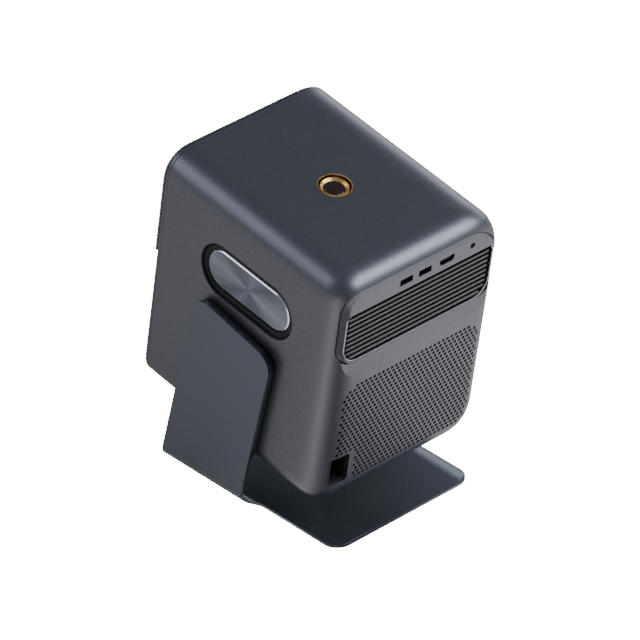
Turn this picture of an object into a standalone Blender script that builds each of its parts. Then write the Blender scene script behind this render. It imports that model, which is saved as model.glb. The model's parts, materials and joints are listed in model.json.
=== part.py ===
"""Portable video projector carried at one side by a bent metal stand.

Metres, +Z up. The lens looks along -Y and the sockets and vents look along +Y. The stand's arm
is at +X. The origin is on the surface that the stand's pad rests on, straight below the hinge.
Pieces of the case are written in the case's own axes: x from its middle, y from its rear face,
z from its underside. One empty carries them at the hinge, tilted as the stand holds them.
"""
import math

import bmesh
import bpy
from mathutils import Matrix, Vector

# Gaps and cuts
seam = 0.0003
running_gap = 0.0001
overrun = 0.003
smallest_corner = 0.0006

# Case
case_width = 0.168
case_depth = 0.1935
case_height = 0.216
case_wall = 0.0025
near_corner = 0.0255
far_top_corner = 0.042
far_bottom_corner = 0.034
rear_roll = 0.0245
edge_exponent = 2.5
corner_steps = 7
roll_steps = 6
half_width = case_width / 2

# Front of the case
frame_depth = 0.0026
frame_border = 0.008
panel_depth = 0.0022
panel_height = 0.0914
glass_border = 0.007
glass_depth = 0.0014
glass_corner = 0.010
grille_top_gap = 0.006
grille_corner = 0.012
slot_height = 0.004
slot_pitch = 0.0095
slot_end = 0.010
post_width = 0.006
frame_back = case_depth - frame_depth
shell_mouth = frame_back - seam
panel_foot = case_height - panel_height

# Shelf that carries the optics
chassis_drop = 0.0066
chassis_thickness = 0.0030
chassis_front_gap = 0.0049
chassis_corner = 0.012
chassis_foot = panel_foot - chassis_drop
chassis_front = frame_back - chassis_front_gap
chassis_rear = rear_roll
shelf_top = chassis_foot + chassis_thickness + seam

# Hinge and tilt
rest_tilt = math.radians(9.5)
pivot_back = 0.0994
pivot_drop = 0.0305
base_clearance = 0.0382
shaft_radius = 0.007
shaft_head_radius = 0.017
shaft_head_thickness = 0.002
shaft_reach = 0.026
bushing_wall = 0.0025
bushing_flange = 0.005
bushing_flange_thickness = 0.0015
hinge_plate_thickness = 0.003
hinge_plate_width = 0.064
hinge_plate_height = 0.046
washer_radius = 0.018
washer_thickness = 0.0006
spring_radius = 0.0125
spring_thickness = 0.002
nut_radius = 0.012
nut_thickness = 0.005
pivot_rise = chassis_foot - pivot_drop

# Stand
plate_thickness = 0.0025
pad_thickness = 0.001
pad_inset = 0.003
bend_radius = 0.0124
bend_steps = 7
base_far_edge = -0.0614
base_front_edge = -0.0805
base_rear_edge = 0.1031
base_corner = 0.0135
arm_width = 0.0855
arm_lean = math.radians(15.0)
arm_ahead = 0.0022
arm_reach = 0.031
arm_corner = 0.0145
foot_fillet = 0.013
liner_thickness = 0.0038
liner_inset = 0.0006
liner_foot_height = 0.054
liner_corner = 0.009
outline_steps = 6
arm_inner_plane = half_width + washer_thickness + liner_thickness + 3 * seam
arm_plane = arm_inner_plane + plate_thickness
plate_underside = pad_thickness + seam
pivot_height = plate_underside + plate_thickness + pivot_rise + base_clearance

# Rear insert with sockets and louvre window
insert_side_margin = 0.0055
insert_drop = 0.0097
insert_height = 0.0694
insert_corner = 0.0175
insert_far_corner = 0.034
insert_sink = 0.0032
insert_edge = 0.006
insert_bottom_edge = 0.0004
insert_depth = 0.0125
insert_face = 0.0024
insert_skirt = 0.0025
slope_reach = 0.0102
window_side_margin = 0.005
window_foot_margin = 0.0018
window_head_margin = 0.0216
window_foot_corner = 0.0155
window_top_corner = 0.005
rim_wall = 0.0013
rim_depth = 0.0115
rim_proud = 0.0002
slat_count = 9
slat_top_gap = 0.0047
slat_foot_gap = 0.0040
slat_thickness = 0.0022
slat_depth = 0.0085
slat_set_back = 0.0006
slat_nose = 0.0038
slat_tilt = math.radians(24.0)
insert_half_width = half_width - insert_side_margin
insert_top = case_height - insert_drop
insert_foot = insert_top - insert_height
window_half_width = insert_half_width - window_side_margin
window_foot = insert_foot + window_foot_margin
window_top = insert_top - window_head_margin

# Sockets
socket_drop = 0.0132
usb_width = 0.0128
usb_height = 0.0059
usb_centres = (0.0163, -0.0025)
usb_tongue = 0.0017
hdmi_width = 0.0150
hdmi_height = 0.0061
hdmi_centre = -0.0245
hdmi_chamfer = 0.0022
socket_depth = 0.0135
socket_wall = 0.0005
socket_floor = 0.003
jack_centre = -0.0505
jack_lift = 0.0013
jack_radius = 0.0026
jack_bore = 0.0018
socket_height = insert_top - socket_drop
jack_height = socket_height + jack_lift

# Perforated rear grille
grille_side_margin = 0.0128
grille_foot = 0.0150
grille_head_gap = 0.0154
grille_edge_corner = 0.014
grille_thickness = 0.0016
hole_pitch = 0.0129
hole_radius = 0.0040
hole_margin = 0.0032
inlet_margin = 0.0030
grille_half_width = half_width - grille_side_margin
grille_head = insert_foot - grille_head_gap

# Power inlet
inlet_side_gap = 0.0115
inlet_foot_gap = 0.0214
inlet_width = 0.0183
inlet_height = 0.0261
inlet_corner = 0.0032
inlet_wall = 0.0012
inlet_front = 0.0024
inlet_depth = 0.020
inlet_floor = 0.003
pin_radius = 0.0012
pin_length = 0.009
pin_gap = 0.0086
inlet_x = half_width - inlet_side_gap - inlet_width / 2
inlet_z = inlet_foot_gap + inlet_height / 2

# Passive radiator at the arm side
radiator_back = 0.0973
plate_length = 0.0885
plate_height = 0.0333
plate_depth = 0.0028
plate_stroke_gap = 0.0005
plate_chamfer = 0.0006
plate_gap = 0.0005
radiator_travel = 0.0015
surround_end_width = 0.00575
surround_side_width = 0.0066
surround_depth = 0.0030
surround_sink = 0.0012
surround_roll = 0.0012
surround_lip = 0.0010
stadium_steps = 8
speaker_box_width = 0.030
speaker_box_foot_wall = 0.00615
speaker_box_head = 0.00605
speaker_box_front_wall = 0.0087
speaker_box_rear_wall = 0.0053
speaker_box_edge = 0.003
cavity_depth = 0.012
plate_sink = radiator_travel + plate_stroke_gap
radiator_length = plate_length + 2 * surround_end_width
radiator_height = plate_height + 2 * surround_side_width
radiator_rise = shelf_top + speaker_box_foot_wall + radiator_height / 2
speaker_box_inner = half_width - case_wall - seam - speaker_box_width
speaker_box_top = radiator_rise + radiator_height / 2 + speaker_box_head
speaker_box_front = radiator_back + radiator_length / 2 + speaker_box_front_wall
speaker_box_rear = radiator_back - radiator_length / 2 - speaker_box_rear_wall

# Power button
button_x = 0.0059
button_back = 0.0959
button_ring_radius = 0.0137
button_ring_wall = 0.0014
button_ring_proud = 0.0003
button_ring_flange = 0.0020
button_ring_depth = 0.0075
button_gap = 0.0004
button_sink = 0.0018
button_dish = 0.0008
button_thickness = 0.0030
button_lens_radius = 0.0078
button_lens_thickness = 0.0010
button_stem_radius = 0.0030
button_stem_length = 0.0050
button_travel = 0.0006
switch_width = 0.012

# Boards
board_thickness = 0.0016
board_gap = 0.00045
main_board_front = 0.1120
main_board_rear = 0.0140
main_board_near_gap = 0.0012
main_board_far_gap = 0.0180
chip_shares = ((0.2, 0.45), (0.42, 0.62), (0.84, 0.4))
chip_side = 0.018
chip_height = 0.0022
board_stand_off = 0.0045
supply_near_gap = 0.0340
supply_far_gap = 0.0360
supply_front = 0.1150
supply_rear = 0.0350
supply_height = 0.0300
supply_block_shares = (0.22, 0.6)
supply_block_width = 0.030
supply_block_length = 0.045
main_board_foot = socket_height - max(usb_height, hdmi_height) / 2 - board_gap - board_thickness
main_board_near = speaker_box_inner - main_board_near_gap
main_board_far = main_board_far_gap - half_width
supply_near = half_width - supply_near_gap
supply_far = supply_far_gap - half_width

# Cooling
fan_rear = 0.0330
fan_depth = 0.0200
fan_headroom = 0.0067
fan_bore_gap = 0.0025
fan_x = 0.0
fan_hub_radius = 0.0125
fan_tip_gap = 0.0010
fan_pin_radius = 0.0016
fan_plate = 0.0020
fan_strut = 0.0040
fan_end_gap = 0.0008
blade_count = 7
blade_thickness = 0.0016
blade_pitch = math.radians(38.0)
blade_chord_share = 0.9
sink_gap = 0.0010
sink_depth = 0.0257
sink_near_inset = 0.0040
sink_far_inset = 0.0220
sink_base = 0.005
fin_count = 9
fin_thickness = 0.0024
fan_side = main_board_foot - fan_headroom - shelf_top
sink_rear = fan_rear + fan_depth + sink_gap
sink_front = sink_rear + sink_depth

# Optics
engine_near_gap = 0.0132
engine_far_gap = 0.0220
engine_edge = 0.004
lens_rise = 0.0314
barrel_radius = 0.0230
barrel_wall = 0.0020
barrel_flange = 0.0040
barrel_flange_thickness = 0.0030
barrel_front_gap = 0.0024
sleeve_wall = 0.0025
sleeve_end_gap = 0.0010
sleeve_length = 0.0290
sleeve_rear_gap = 0.0080
lens_thickness = 0.0060
lens_bulge = 0.0022
lens_seat = 0.0015
focus_travel = 0.0025
sensor_offset = 0.050
sensor_lift = 0.012
sensor_width = 0.026
sensor_height = 0.012
sensor_eye = 0.004
round_steps = 24
engine_near = speaker_box_inner - engine_near_gap
engine_far = engine_far_gap - half_width
sink_near = engine_near - sink_near_inset
sink_far = engine_far + sink_far_inset
lens_x = (engine_near + engine_far) / 2
lens_z = panel_foot + lens_rise
barrel_front = frame_back - barrel_front_gap
sleeve_front = barrel_front - focus_travel - sleeve_end_gap
sleeve_rear = sleeve_front - sleeve_length
engine_front = sleeve_rear - sleeve_rear_gap
engine_rear = sink_front + seam
sensor_x = lens_x + sensor_offset
sensor_z = lens_z + sensor_lift

# Speakers in the lower half
speaker_side_gap = 0.0470
speaker_radius = 0.0290
speaker_basket = 0.0200
speaker_magnet = 0.0150
speaker_flange = 0.0020
speaker_depth = 0.0240
speaker_cone_depth = 0.0090
speaker_cap = 0.0095
speaker_front_gap = 0.0049
housing_set_back = 0.0025
housing_length = 0.0335
housing_head_gap = 0.0030
speaker_x = half_width - speaker_side_gap
speaker_z = (case_wall + chassis_foot) / 2
speaker_face = frame_back - speaker_front_gap
housing_front = speaker_face - housing_set_back
housing_rear = housing_front - housing_length
housing_top = chassis_foot - housing_head_gap

finishes = {
    "satin_slate": (0.055, 0.060, 0.072, 0.42, 0.55),
    "coated_steel": (0.080, 0.088, 0.105, 0.48, 0.45),
    "black_plastic": (0.012, 0.012, 0.013, 0.45, 0.0),
    "grey_plastic": (0.16, 0.17, 0.18, 0.50, 0.0),
    "black_glass": (0.004, 0.004, 0.005, 0.06, 0.0),
    "black_rubber": (0.008, 0.008, 0.008, 0.75, 0.0),
    "gold": (0.58, 0.38, 0.13, 0.25, 1.0),
    "bright_steel": (0.55, 0.56, 0.58, 0.30, 1.0),
    "spun_aluminium": (0.30, 0.32, 0.36, 0.28, 1.0),
    "board_green": (0.02, 0.07, 0.04, 0.55, 0.0),
    "lens_glass": (0.10, 0.11, 0.16, 0.04, 0.0),
    "paper_cone": (0.020, 0.020, 0.022, 0.80, 0.0),
}


def finish(name):
    """One Principled material for each finish, made when it is first asked for."""
    known = bpy.data.materials.get(name)
    if known:
        return known
    red, green, blue, roughness, metallic = finishes[name]
    made = bpy.data.materials.new(name)
    made.use_nodes = True
    shader = made.node_tree.nodes["Principled BSDF"]
    shader.inputs["Base Color"].default_value = (red, green, blue, 1.0)
    shader.inputs["Roughness"].default_value = roughness
    shader.inputs["Metallic"].default_value = metallic
    return made


def keep(name, mesh_data, finish_name, carrier):
    """Turns bmesh data into a smooth shaded object on its carrier, with its faces pointing out."""
    bmesh.ops.remove_doubles(mesh_data, verts=mesh_data.verts, dist=seam / 100)
    bmesh.ops.recalc_face_normals(mesh_data, faces=mesh_data.faces)
    mesh = bpy.data.meshes.new(name)
    mesh_data.to_mesh(mesh)
    mesh_data.free()
    mesh.materials.append(finish(finish_name))
    mesh.shade_smooth()
    mesh.set_sharp_from_angle(angle=math.radians(32.0))
    made = bpy.data.objects.new(name, mesh)
    bpy.context.scene.collection.objects.link(made)
    made.parent = carrier
    return made


def tool_of(made):
    """Marks an object as a cutter or a filler, which isn't a piece of the part."""
    made.hide_render = True
    made.display_type = "WIRE"
    return made


def combine(made, tool, operation):
    """Cuts, joins or keeps the common volume of an object and a tool."""
    step = made.modifiers.new(operation.title(), "BOOLEAN")
    step.operation = operation
    step.solver = "EXACT"
    step.object = tool_of(tool)
    return made


def cut(made, tool):
    return combine(made, tool, "DIFFERENCE")


def join(made, tool):
    return combine(made, tool, "UNION")


def remove(made, axis, outline, start, end):
    """Cuts a straight prism of an outline out of an object."""
    name = f"{made.name}_cut_{len(made.modifiers)}"
    return cut(made, swept(name, axis, outline, start, end, "black_plastic", made.parent))


def spread(axis, across, up, along):
    """Places an outline point: across and up lie in the outline, along is the sweep direction."""
    if axis == "X":
        return Vector((along, across, up))
    if axis == "Y":
        return Vector((across, along, up))
    return Vector((across, up, along))


def loft(rings):
    """Skins rings that have equal numbers of points and closes both ends."""
    mesh_data = bmesh.new()
    rows = [[mesh_data.verts.new(point) for point in ring] for ring in rings]
    count = len(rows[0])
    for first, second in zip(rows, rows[1:]):
        for index in range(count):
            after = (index + 1) % count
            mesh_data.faces.new((first[index], first[after], second[after], second[index]))
    mesh_data.faces.new(rows[0])
    mesh_data.faces.new(reversed(rows[-1]))
    return mesh_data


def swept(name, axis, outline, start, end, finish_name, carrier):
    """A straight prism of an outline between two places along an axis."""
    rings = [[spread(axis, u, v, place) for u, v in outline] for place in (start, end)]
    return keep(name, loft(rings), finish_name, carrier)


def rounded_rectangle(low_u, high_u, low_v, high_v, corners, exponent=2.0, steps=outline_steps):
    """Outline with a round of its own at each corner: high-high, low-high, low-low, high-low."""
    points = []
    quarters = (
        (high_u, high_v, 1, 1),
        (low_u, high_v, -1, 1),
        (low_u, low_v, -1, -1),
        (high_u, low_v, 1, -1),
    )
    for quarter, ((corner_u, corner_v, side_u, side_v), size) in enumerate(zip(quarters, corners)):
        for step in range(steps + 1):
            share = step / steps if quarter % 2 == 0 else 1 - step / steps
            along_u = math.cos(share * math.pi / 2) ** (2 / exponent) if share < 1 else 0.0
            along_v = math.sin(share * math.pi / 2) ** (2 / exponent)
            u = corner_u - side_u * size * (1 - along_u)
            v = corner_v - side_v * size * (1 - along_v)
            points.append((u, v))
    return points


def plain_rectangle(low_u, high_u, low_v, high_v, corner=smallest_corner, steps=2):
    return rounded_rectangle(low_u, high_u, low_v, high_v, (corner,) * 4, steps=steps)


def centred_rectangle(u, v, width, height, corner=smallest_corner, steps=2):
    return plain_rectangle(u - width / 2, u + width / 2, v - height / 2, v + height / 2, corner, steps)


def stadium(u, v, length, height, steps=stadium_steps):
    """Outline with two straight runs and half round ends."""
    return centred_rectangle(u, v, length, height, height / 2, steps)


def circle(u, v, radius, steps=round_steps):
    angles = [2 * math.pi * step / steps for step in range(steps)]
    return [(u + radius * math.cos(angle), v + radius * math.sin(angle)) for angle in angles]


def filleted(corners, steps=outline_steps):
    """Outline of straight runs whose corners are rounded: each corner is (u, v, radius)."""
    points = []
    for index, (u, v, radius) in enumerate(corners):
        here = Vector((u, v))
        before = (Vector(corners[index - 1][:2]) - here).normalized()
        after = (Vector(corners[(index + 1) % len(corners)][:2]) - here).normalized()
        half_angle = before.angle(after) / 2
        reach = radius / math.tan(half_angle)
        centre = here + (before + after).normalized() * radius / math.sin(half_angle)
        start = here + before * reach - centre
        turn = (here + after * reach - centre).angle_signed(start)
        for step in range(steps + 1):
            points.append(tuple(centre + Matrix.Rotation(turn * step / steps, 2) @ start))
    return points


def turned(name, axis, u, v, profile, finish_name, carrier, steps=round_steps):
    """Spins a closed profile of (radius, place along the axis) about a line."""
    mesh_data = bmesh.new()
    rows = []
    for radius, along in profile:
        if radius == 0:
            rows.append([mesh_data.verts.new(spread(axis, u, v, along))] * steps)
        else:
            ring = [spread(axis, *point, along) for point in circle(u, v, radius, steps)]
            rows.append([mesh_data.verts.new(point) for point in ring])
    for index, first in enumerate(rows):
        second = rows[(index + 1) % len(rows)]
        for step in range(steps):
            after = (step + 1) % steps
            corners = dict.fromkeys((first[step], first[after], second[after], second[step]))
            if len(corners) > 2:
                mesh_data.faces.new(tuple(corners))
    return keep(name, mesh_data, finish_name, carrier)


def disc_profile(radius, low, high):
    return [(0, low), (radius, low), (radius, high), (0, high)]


def tube_profile(bore, radius, low, high):
    return [(bore, low), (radius, low), (radius, high), (bore, high)]


def case_outline(inset=0.0):
    """Cross-section of the case, drawn in from its outer skin."""
    sizes = (near_corner, far_top_corner, far_bottom_corner, near_corner)
    corners = [max(size - inset, smallest_corner) for size in sizes]
    return rounded_rectangle(
        inset - half_width,
        half_width - inset,
        inset,
        case_height - inset,
        corners,
        edge_exponent,
        corner_steps,
    )


def case_ring(inset, back):
    return [spread("Y", u, v, -back) for u, v in case_outline(inset)]


def rolled_rings(skin):
    """Rings of the rear edge, for the skin that lies this deep under the outer one."""
    size = rear_roll - skin
    rings = []
    for step in range(roll_steps + 1):
        angle = math.pi / 2 * step / roll_steps
        across = math.cos(angle) ** (2 / edge_exponent) if step < roll_steps else 0.0
        along = math.sin(angle) ** (2 / edge_exponent)
        rings.append(case_ring(skin + size * (1 - across), skin + size * (1 - along)))
    return rings


def case_skin(depth):
    """Shell of the case from its mouth round the rear edge, as closed mesh data."""
    outer = [case_ring(0.0, shell_mouth)] + rolled_rings(0.0)
    inner = [case_ring(depth, shell_mouth)] + rolled_rings(depth)
    return loft(inner[::-1] + outer)


def insert_outline(grow=0.0, top_grow=None, foot_grow=None, round_grow=None):
    top = grow if top_grow is None else top_grow
    foot = grow if foot_grow is None else foot_grow
    wider = grow if round_grow is None else round_grow
    near = insert_corner + wider
    far = insert_far_corner + wider
    return rounded_rectangle(
        -insert_half_width - grow,
        insert_half_width + grow,
        insert_foot - foot,
        insert_top + top,
        (near, far, near, near),
    )


def window_outline(shrink=0.0):
    top = window_top_corner - shrink
    foot = window_foot_corner - shrink
    return rounded_rectangle(
        shrink - window_half_width,
        window_half_width - shrink,
        window_foot + shrink,
        window_top - shrink,
        (top, top, foot, foot),
    )


def grille_outline(shrink=0.0):
    corner = grille_edge_corner - shrink
    return rounded_rectangle(
        shrink - grille_half_width,
        grille_half_width - shrink,
        grille_foot + shrink,
        grille_head - shrink,
        (corner,) * 4,
    )


def inlet_outline(shrink=0.0):
    return centred_rectangle(
        inlet_x, inlet_z, inlet_width - 2 * shrink, inlet_height - 2 * shrink, inlet_corner - shrink, 3
    )


def leaning(along, aside):
    """A point of the arm's own axes, from the hinge: along the arm, and aside to the rear."""
    y = along * math.sin(arm_lean) + aside * math.cos(arm_lean) - arm_ahead
    z = along * math.cos(arm_lean) - aside * math.sin(arm_lean) + pivot_height
    return y, z


def add_stand(stand):
    """One sheet, cut flat and folded once into a base and a leaning arm, on a rubber pad."""
    neutral = bend_radius - plate_thickness / 2
    bend_line = arm_plane - bend_radius - base_far_edge
    bend_end = bend_line + neutral * math.pi / 2
    unrolled = bend_end - plate_underside - bend_radius
    lean = math.tan(arm_lean)
    front_y, front_z = leaning(arm_reach, -arm_width / 2)
    rear_y, rear_z = leaning(arm_reach, arm_width / 2)
    foot_rear = rear_y - (rear_z + unrolled - bend_line) * lean
    front_meet = front_z + unrolled - (front_y - base_front_edge) / lean
    corners = [
        (0.0, base_front_edge, base_corner),
        (0.0, base_rear_edge, base_corner),
        (bend_line, base_rear_edge, base_corner),
        (bend_line, foot_rear, foot_fillet),
        (rear_z + unrolled, rear_y, arm_corner),
        (front_z + unrolled, front_y, arm_corner),
        (front_meet, base_front_edge, base_corner),
    ]
    outline = filleted(corners)
    flat = loft([[Vector((u, v, height)) for u, v in outline] for height in (0.0, plate_thickness)])
    for step in range(bend_steps + 1):
        place = bend_line + (bend_end - bend_line) * step / bend_steps
        everything = flat.verts[:] + flat.edges[:] + flat.faces[:]
        bmesh.ops.bisect_plane(flat, geom=everything, plane_co=(place, 0, 0), plane_no=(1, 0, 0))
    for point in flat.verts:
        place, back, height = point.co
        turn = min(max(place - bend_line, 0.0) / neutral, math.pi / 2)
        reach = bend_radius - height
        over = max(place - bend_end, 0.0)
        flat_run = min(place, bend_line)
        across = base_far_edge + flat_run + reach * math.sin(turn)
        up = plate_underside + bend_radius - reach * math.cos(turn) + over
        point.co = (across, back, up)
    keep("stand_plate", flat, "coated_steel", stand)

    pad = rounded_rectangle(
        base_far_edge + pad_inset,
        base_far_edge + bend_line - pad_inset,
        base_front_edge + pad_inset,
        base_rear_edge - pad_inset,
        (base_corner - pad_inset,) * 4,
    )
    swept("base_pad", "Z", pad, 0.0, pad_thickness, "black_rubber", stand)


def add_arm_liner(stand):
    """Plastic cover on the arm's inner face, with a well for the head of the hinge shaft."""
    half = arm_width / 2 - liner_inset
    head = arm_reach - liner_inset
    foot = -(pivot_height - liner_foot_height) / math.cos(arm_lean)
    corners = [
        (*leaning(head, -half), arm_corner - liner_inset),
        (*leaning(head, half), arm_corner - liner_inset),
        (*leaning(foot, half), liner_corner),
        (*leaning(foot, -half), liner_corner),
    ]
    outer = arm_inner_plane - seam
    inner = outer - liner_thickness
    liner = swept("arm_liner", "X", filleted(corners), inner, outer, "black_plastic", stand)
    well = circle(0.0, pivot_height, shaft_head_radius + seam)
    remove(liner, "X", well, inner - overrun, outer + overrun)


def add_hinge(stand, case):
    """Headed shaft on the arm, friction washer, bushing in the case wall, disc spring and nut."""
    outer = arm_inner_plane - seam
    head_inner = outer - shaft_head_thickness
    wall_outer = half_width
    wall_inner = half_width - case_wall
    shaft_end = wall_inner - shaft_reach
    shaft = [
        (0, outer),
        (shaft_head_radius, outer),
        (shaft_head_radius, head_inner),
        (shaft_radius, head_inner),
        (shaft_radius, shaft_end),
        (0, shaft_end),
    ]
    turned("hinge_shaft", "X", 0.0, pivot_height, shaft, "bright_steel", stand)

    washer_outer = outer - liner_thickness - seam
    washer_inner = wall_outer + seam
    washer = tube_profile(shaft_radius + seam, washer_radius, washer_inner, washer_outer)
    turned("friction_washer", "X", 0.0, pivot_height, washer, "black_plastic", stand)

    bushing_bore = shaft_radius + running_gap
    bushing_radius = bushing_bore + bushing_wall
    flange_face = wall_inner - seam
    flange_back = flange_face - bushing_flange_thickness
    bushing = [
        (bushing_bore, wall_outer - seam),
        (bushing_radius, wall_outer - seam),
        (bushing_radius, flange_face),
        (bushing_radius + bushing_flange, flange_face),
        (bushing_radius + bushing_flange, flange_back),
        (bushing_bore, flange_back),
    ]
    turned("hinge_bushing", "X", -pivot_back, pivot_rise, bushing, "bright_steel", case)

    plate_face = flange_face
    plate_back = plate_face - hinge_plate_thickness
    outline = centred_rectangle(
        -pivot_back, pivot_rise, hinge_plate_width, hinge_plate_height, hinge_plate_thickness
    )
    plate = swept("hinge_plate", "X", outline, plate_back, plate_face, "bright_steel", case)
    eye = circle(-pivot_back, pivot_rise, bushing_radius + bushing_flange + seam)
    remove(plate, "X", eye, plate_back - overrun, plate_face + overrun)

    spring_face = flange_back - seam
    spring_back = spring_face - spring_thickness
    spring = tube_profile(shaft_radius + seam, spring_radius, spring_back, spring_face)
    turned("disc_spring", "X", 0.0, pivot_height, spring, "bright_steel", stand)

    nut_face = spring_back - seam
    nut_back = nut_face - nut_thickness
    hexagon = circle(0.0, pivot_height, nut_radius, 6)
    nut = swept("hinge_nut", "X", hexagon, nut_back, nut_face, "bright_steel", stand)
    bore = circle(0.0, pivot_height, shaft_radius + seam)
    remove(nut, "X", bore, nut_back - overrun, nut_face + overrun)


def add_main_shell(case):
    """Moulded shell, open at the front, with the sunk rear bay, vent, inlet and side cut-outs."""
    shell = keep("main_shell", case_skin(case_wall), "satin_slate", case)
    remove(shell, "Y", insert_outline(seam), -rear_roll, overrun)
    slope_end = overrun / insert_sink
    rings = []
    for place in (0.0, 1.0 + slope_end):
        outline = insert_outline(
            seam + slope_reach * place,
            top_grow=seam - 2 * seam * place,
            round_grow=seam + slope_reach * place / 2,
        )
        rings.append([spread("Y", u, v, insert_sink * (place - 1)) for u, v in outline])
    cut(shell, keep("bay_slope", loft(rings), "satin_slate", case))
    remove(shell, "Y", grille_outline(), -rear_roll / 2, overrun)
    remove(shell, "Y", inlet_outline(), -rear_roll, overrun)
    side = stadium(-radiator_back, radiator_rise, radiator_length, radiator_height)
    wall_inner = half_width - case_wall - overrun
    wall_outer = half_width + overrun
    remove(shell, "X", side, wall_inner, wall_outer)
    eye = circle(-pivot_back, pivot_rise, shaft_radius + running_gap + bushing_wall + seam)
    remove(shell, "X", eye, wall_inner, wall_outer)
    well = circle(button_x, -button_back, button_ring_radius + seam)
    remove(shell, "Z", well, case_height - case_wall - overrun, case_height + overrun)


def add_front(case):
    """Frame round the mouth, raised upper panel with its glass, and the lower speaker grille."""
    panel_back = case_depth + seam
    panel_front = panel_back + panel_depth
    frame = swept("front_frame", "Y", case_outline(), -case_depth, -frame_back, "satin_slate", case)
    window_low = panel_foot + frame_border
    corner = far_top_corner - frame_border
    upper = rounded_rectangle(
        frame_border - half_width,
        half_width - frame_border,
        window_low,
        case_height - frame_border,
        (near_corner - frame_border, corner, grille_corner, grille_corner),
        edge_exponent,
    )
    remove(frame, "Y", upper, -case_depth - overrun, -frame_back + overrun)
    lower_high = panel_foot - grille_top_gap
    lower = rounded_rectangle(
        frame_border - half_width,
        half_width - frame_border,
        frame_border,
        lower_high,
        (grille_corner, grille_corner, far_bottom_corner - frame_border, near_corner - frame_border),
    )
    remove(frame, "Y", lower, -case_depth - overrun, -frame_back + overrun)

    block = swept("front_panel", "Y", case_outline(), -panel_front, -panel_back, "satin_slate", case)
    chop = plain_rectangle(-case_width, case_width, -case_height, panel_foot)
    remove(block, "Y", chop, -panel_front - overrun, -panel_back + overrun)
    glass_outline = rounded_rectangle(
        glass_border - half_width,
        half_width - glass_border,
        panel_foot + glass_border,
        case_height - glass_border,
        (near_corner - glass_border, far_top_corner - glass_border, glass_corner, glass_corner),
        edge_exponent,
    )
    glass_back = panel_front - glass_depth
    remove(block, "Y", glass_outline, -panel_front - overrun, -glass_back + seam)
    port = circle(lens_x, lens_z, barrel_radius)
    remove(block, "Y", port, -panel_front - overrun, -panel_back + overrun)
    inner = [(u * (1 - seam / half_width), v) for u, v in glass_outline]
    swept("front_glass", "Y", inner, -panel_front, -glass_back, "black_glass", case)

    shrink = frame_border + seam
    plate = rounded_rectangle(
        shrink - half_width,
        half_width - shrink,
        shrink,
        lower_high - seam,
        (grille_corner - seam, grille_corner - seam, far_bottom_corner - shrink, near_corner - shrink),
    )
    grille = swept("front_grille", "Y", plate, -case_depth, -frame_back, "black_plastic", case)
    slot_half = half_width - frame_border - slot_end
    low = far_bottom_corner / 2
    count = int((lower_high - slot_pitch - low) / slot_pitch)
    run = slot_half - post_width / 2
    for row in range(count):
        height = low + slot_pitch * (row + 1)
        for side in (-1, 1):
            middle = side * (post_width / 2 + run / 2)
            slot = centred_rectangle(middle, height, run, slot_height, slot_height / 2)
            remove(grille, "Y", slot, -case_depth - overrun, -frame_back + overrun)


def socket_outline(centre, width, height, chamfer):
    """Socket mouth: square shouldered, with its two lower corners cut off where it has chamfers."""
    low = socket_height - height / 2
    high = socket_height + height / 2
    left = centre - width / 2
    right = centre + width / 2
    if not chamfer:
        return plain_rectangle(left, right, low, high)
    return [
        (right, high),
        (left, high),
        (left, low + chamfer),
        (left + chamfer, low),
        (right - chamfer, low),
        (right, low + chamfer),
    ]


def add_rear_insert(case):
    """Sunk rear insert: rolled edges at its top and sides, socket holes and the louvre window."""
    inset_steps = 4
    back = insert_sink + insert_depth
    rings = [[spread("Y", u, v, -back) for u, v in insert_outline(-seam)]]
    for step in range(inset_steps + 1):
        angle = math.pi / 2 * step / inset_steps
        inset = insert_edge * (1 - math.cos(angle))
        drop = insert_edge * (1 - math.sin(angle))
        low = insert_bottom_edge * (1 - math.cos(angle))
        outline = insert_outline(-seam - inset, foot_grow=-seam - low)
        rings.append([spread("Y", u, v, -insert_sink - drop) for u, v in outline])
    insert = keep("rear_insert", loft(rings), "satin_slate", case)
    hollow = insert_outline(-insert_skirt, foot_grow=-seam - insert_bottom_edge - insert_skirt / 4)
    low = -insert_sink - insert_face
    remove(insert, "Y", hollow, -back - overrun, low - insert_edge / 2)
    face = -insert_sink + overrun
    deep = -back - overrun
    remove(insert, "Y", window_outline(), deep, face)
    for index, centre in enumerate(usb_centres):
        mouth = socket_outline(centre, usb_width, usb_height, 0)
        remove(insert, "Y", mouth, deep, face)
    mouth = socket_outline(hdmi_centre, hdmi_width, hdmi_height, hdmi_chamfer)
    remove(insert, "Y", mouth, deep, face)
    hole = circle(jack_centre, jack_height, jack_radius + seam, round_steps // 2)
    remove(insert, "Y", hole, deep, face)


def window_reach(height):
    """Half the width of the louvre window at a height, with its rounded lower corners."""
    rise = height - window_foot
    if rise >= window_foot_corner:
        return window_half_width
    drop = window_foot_corner - rise
    return window_half_width - window_foot_corner + math.sqrt(window_foot_corner**2 - drop**2)


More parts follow.
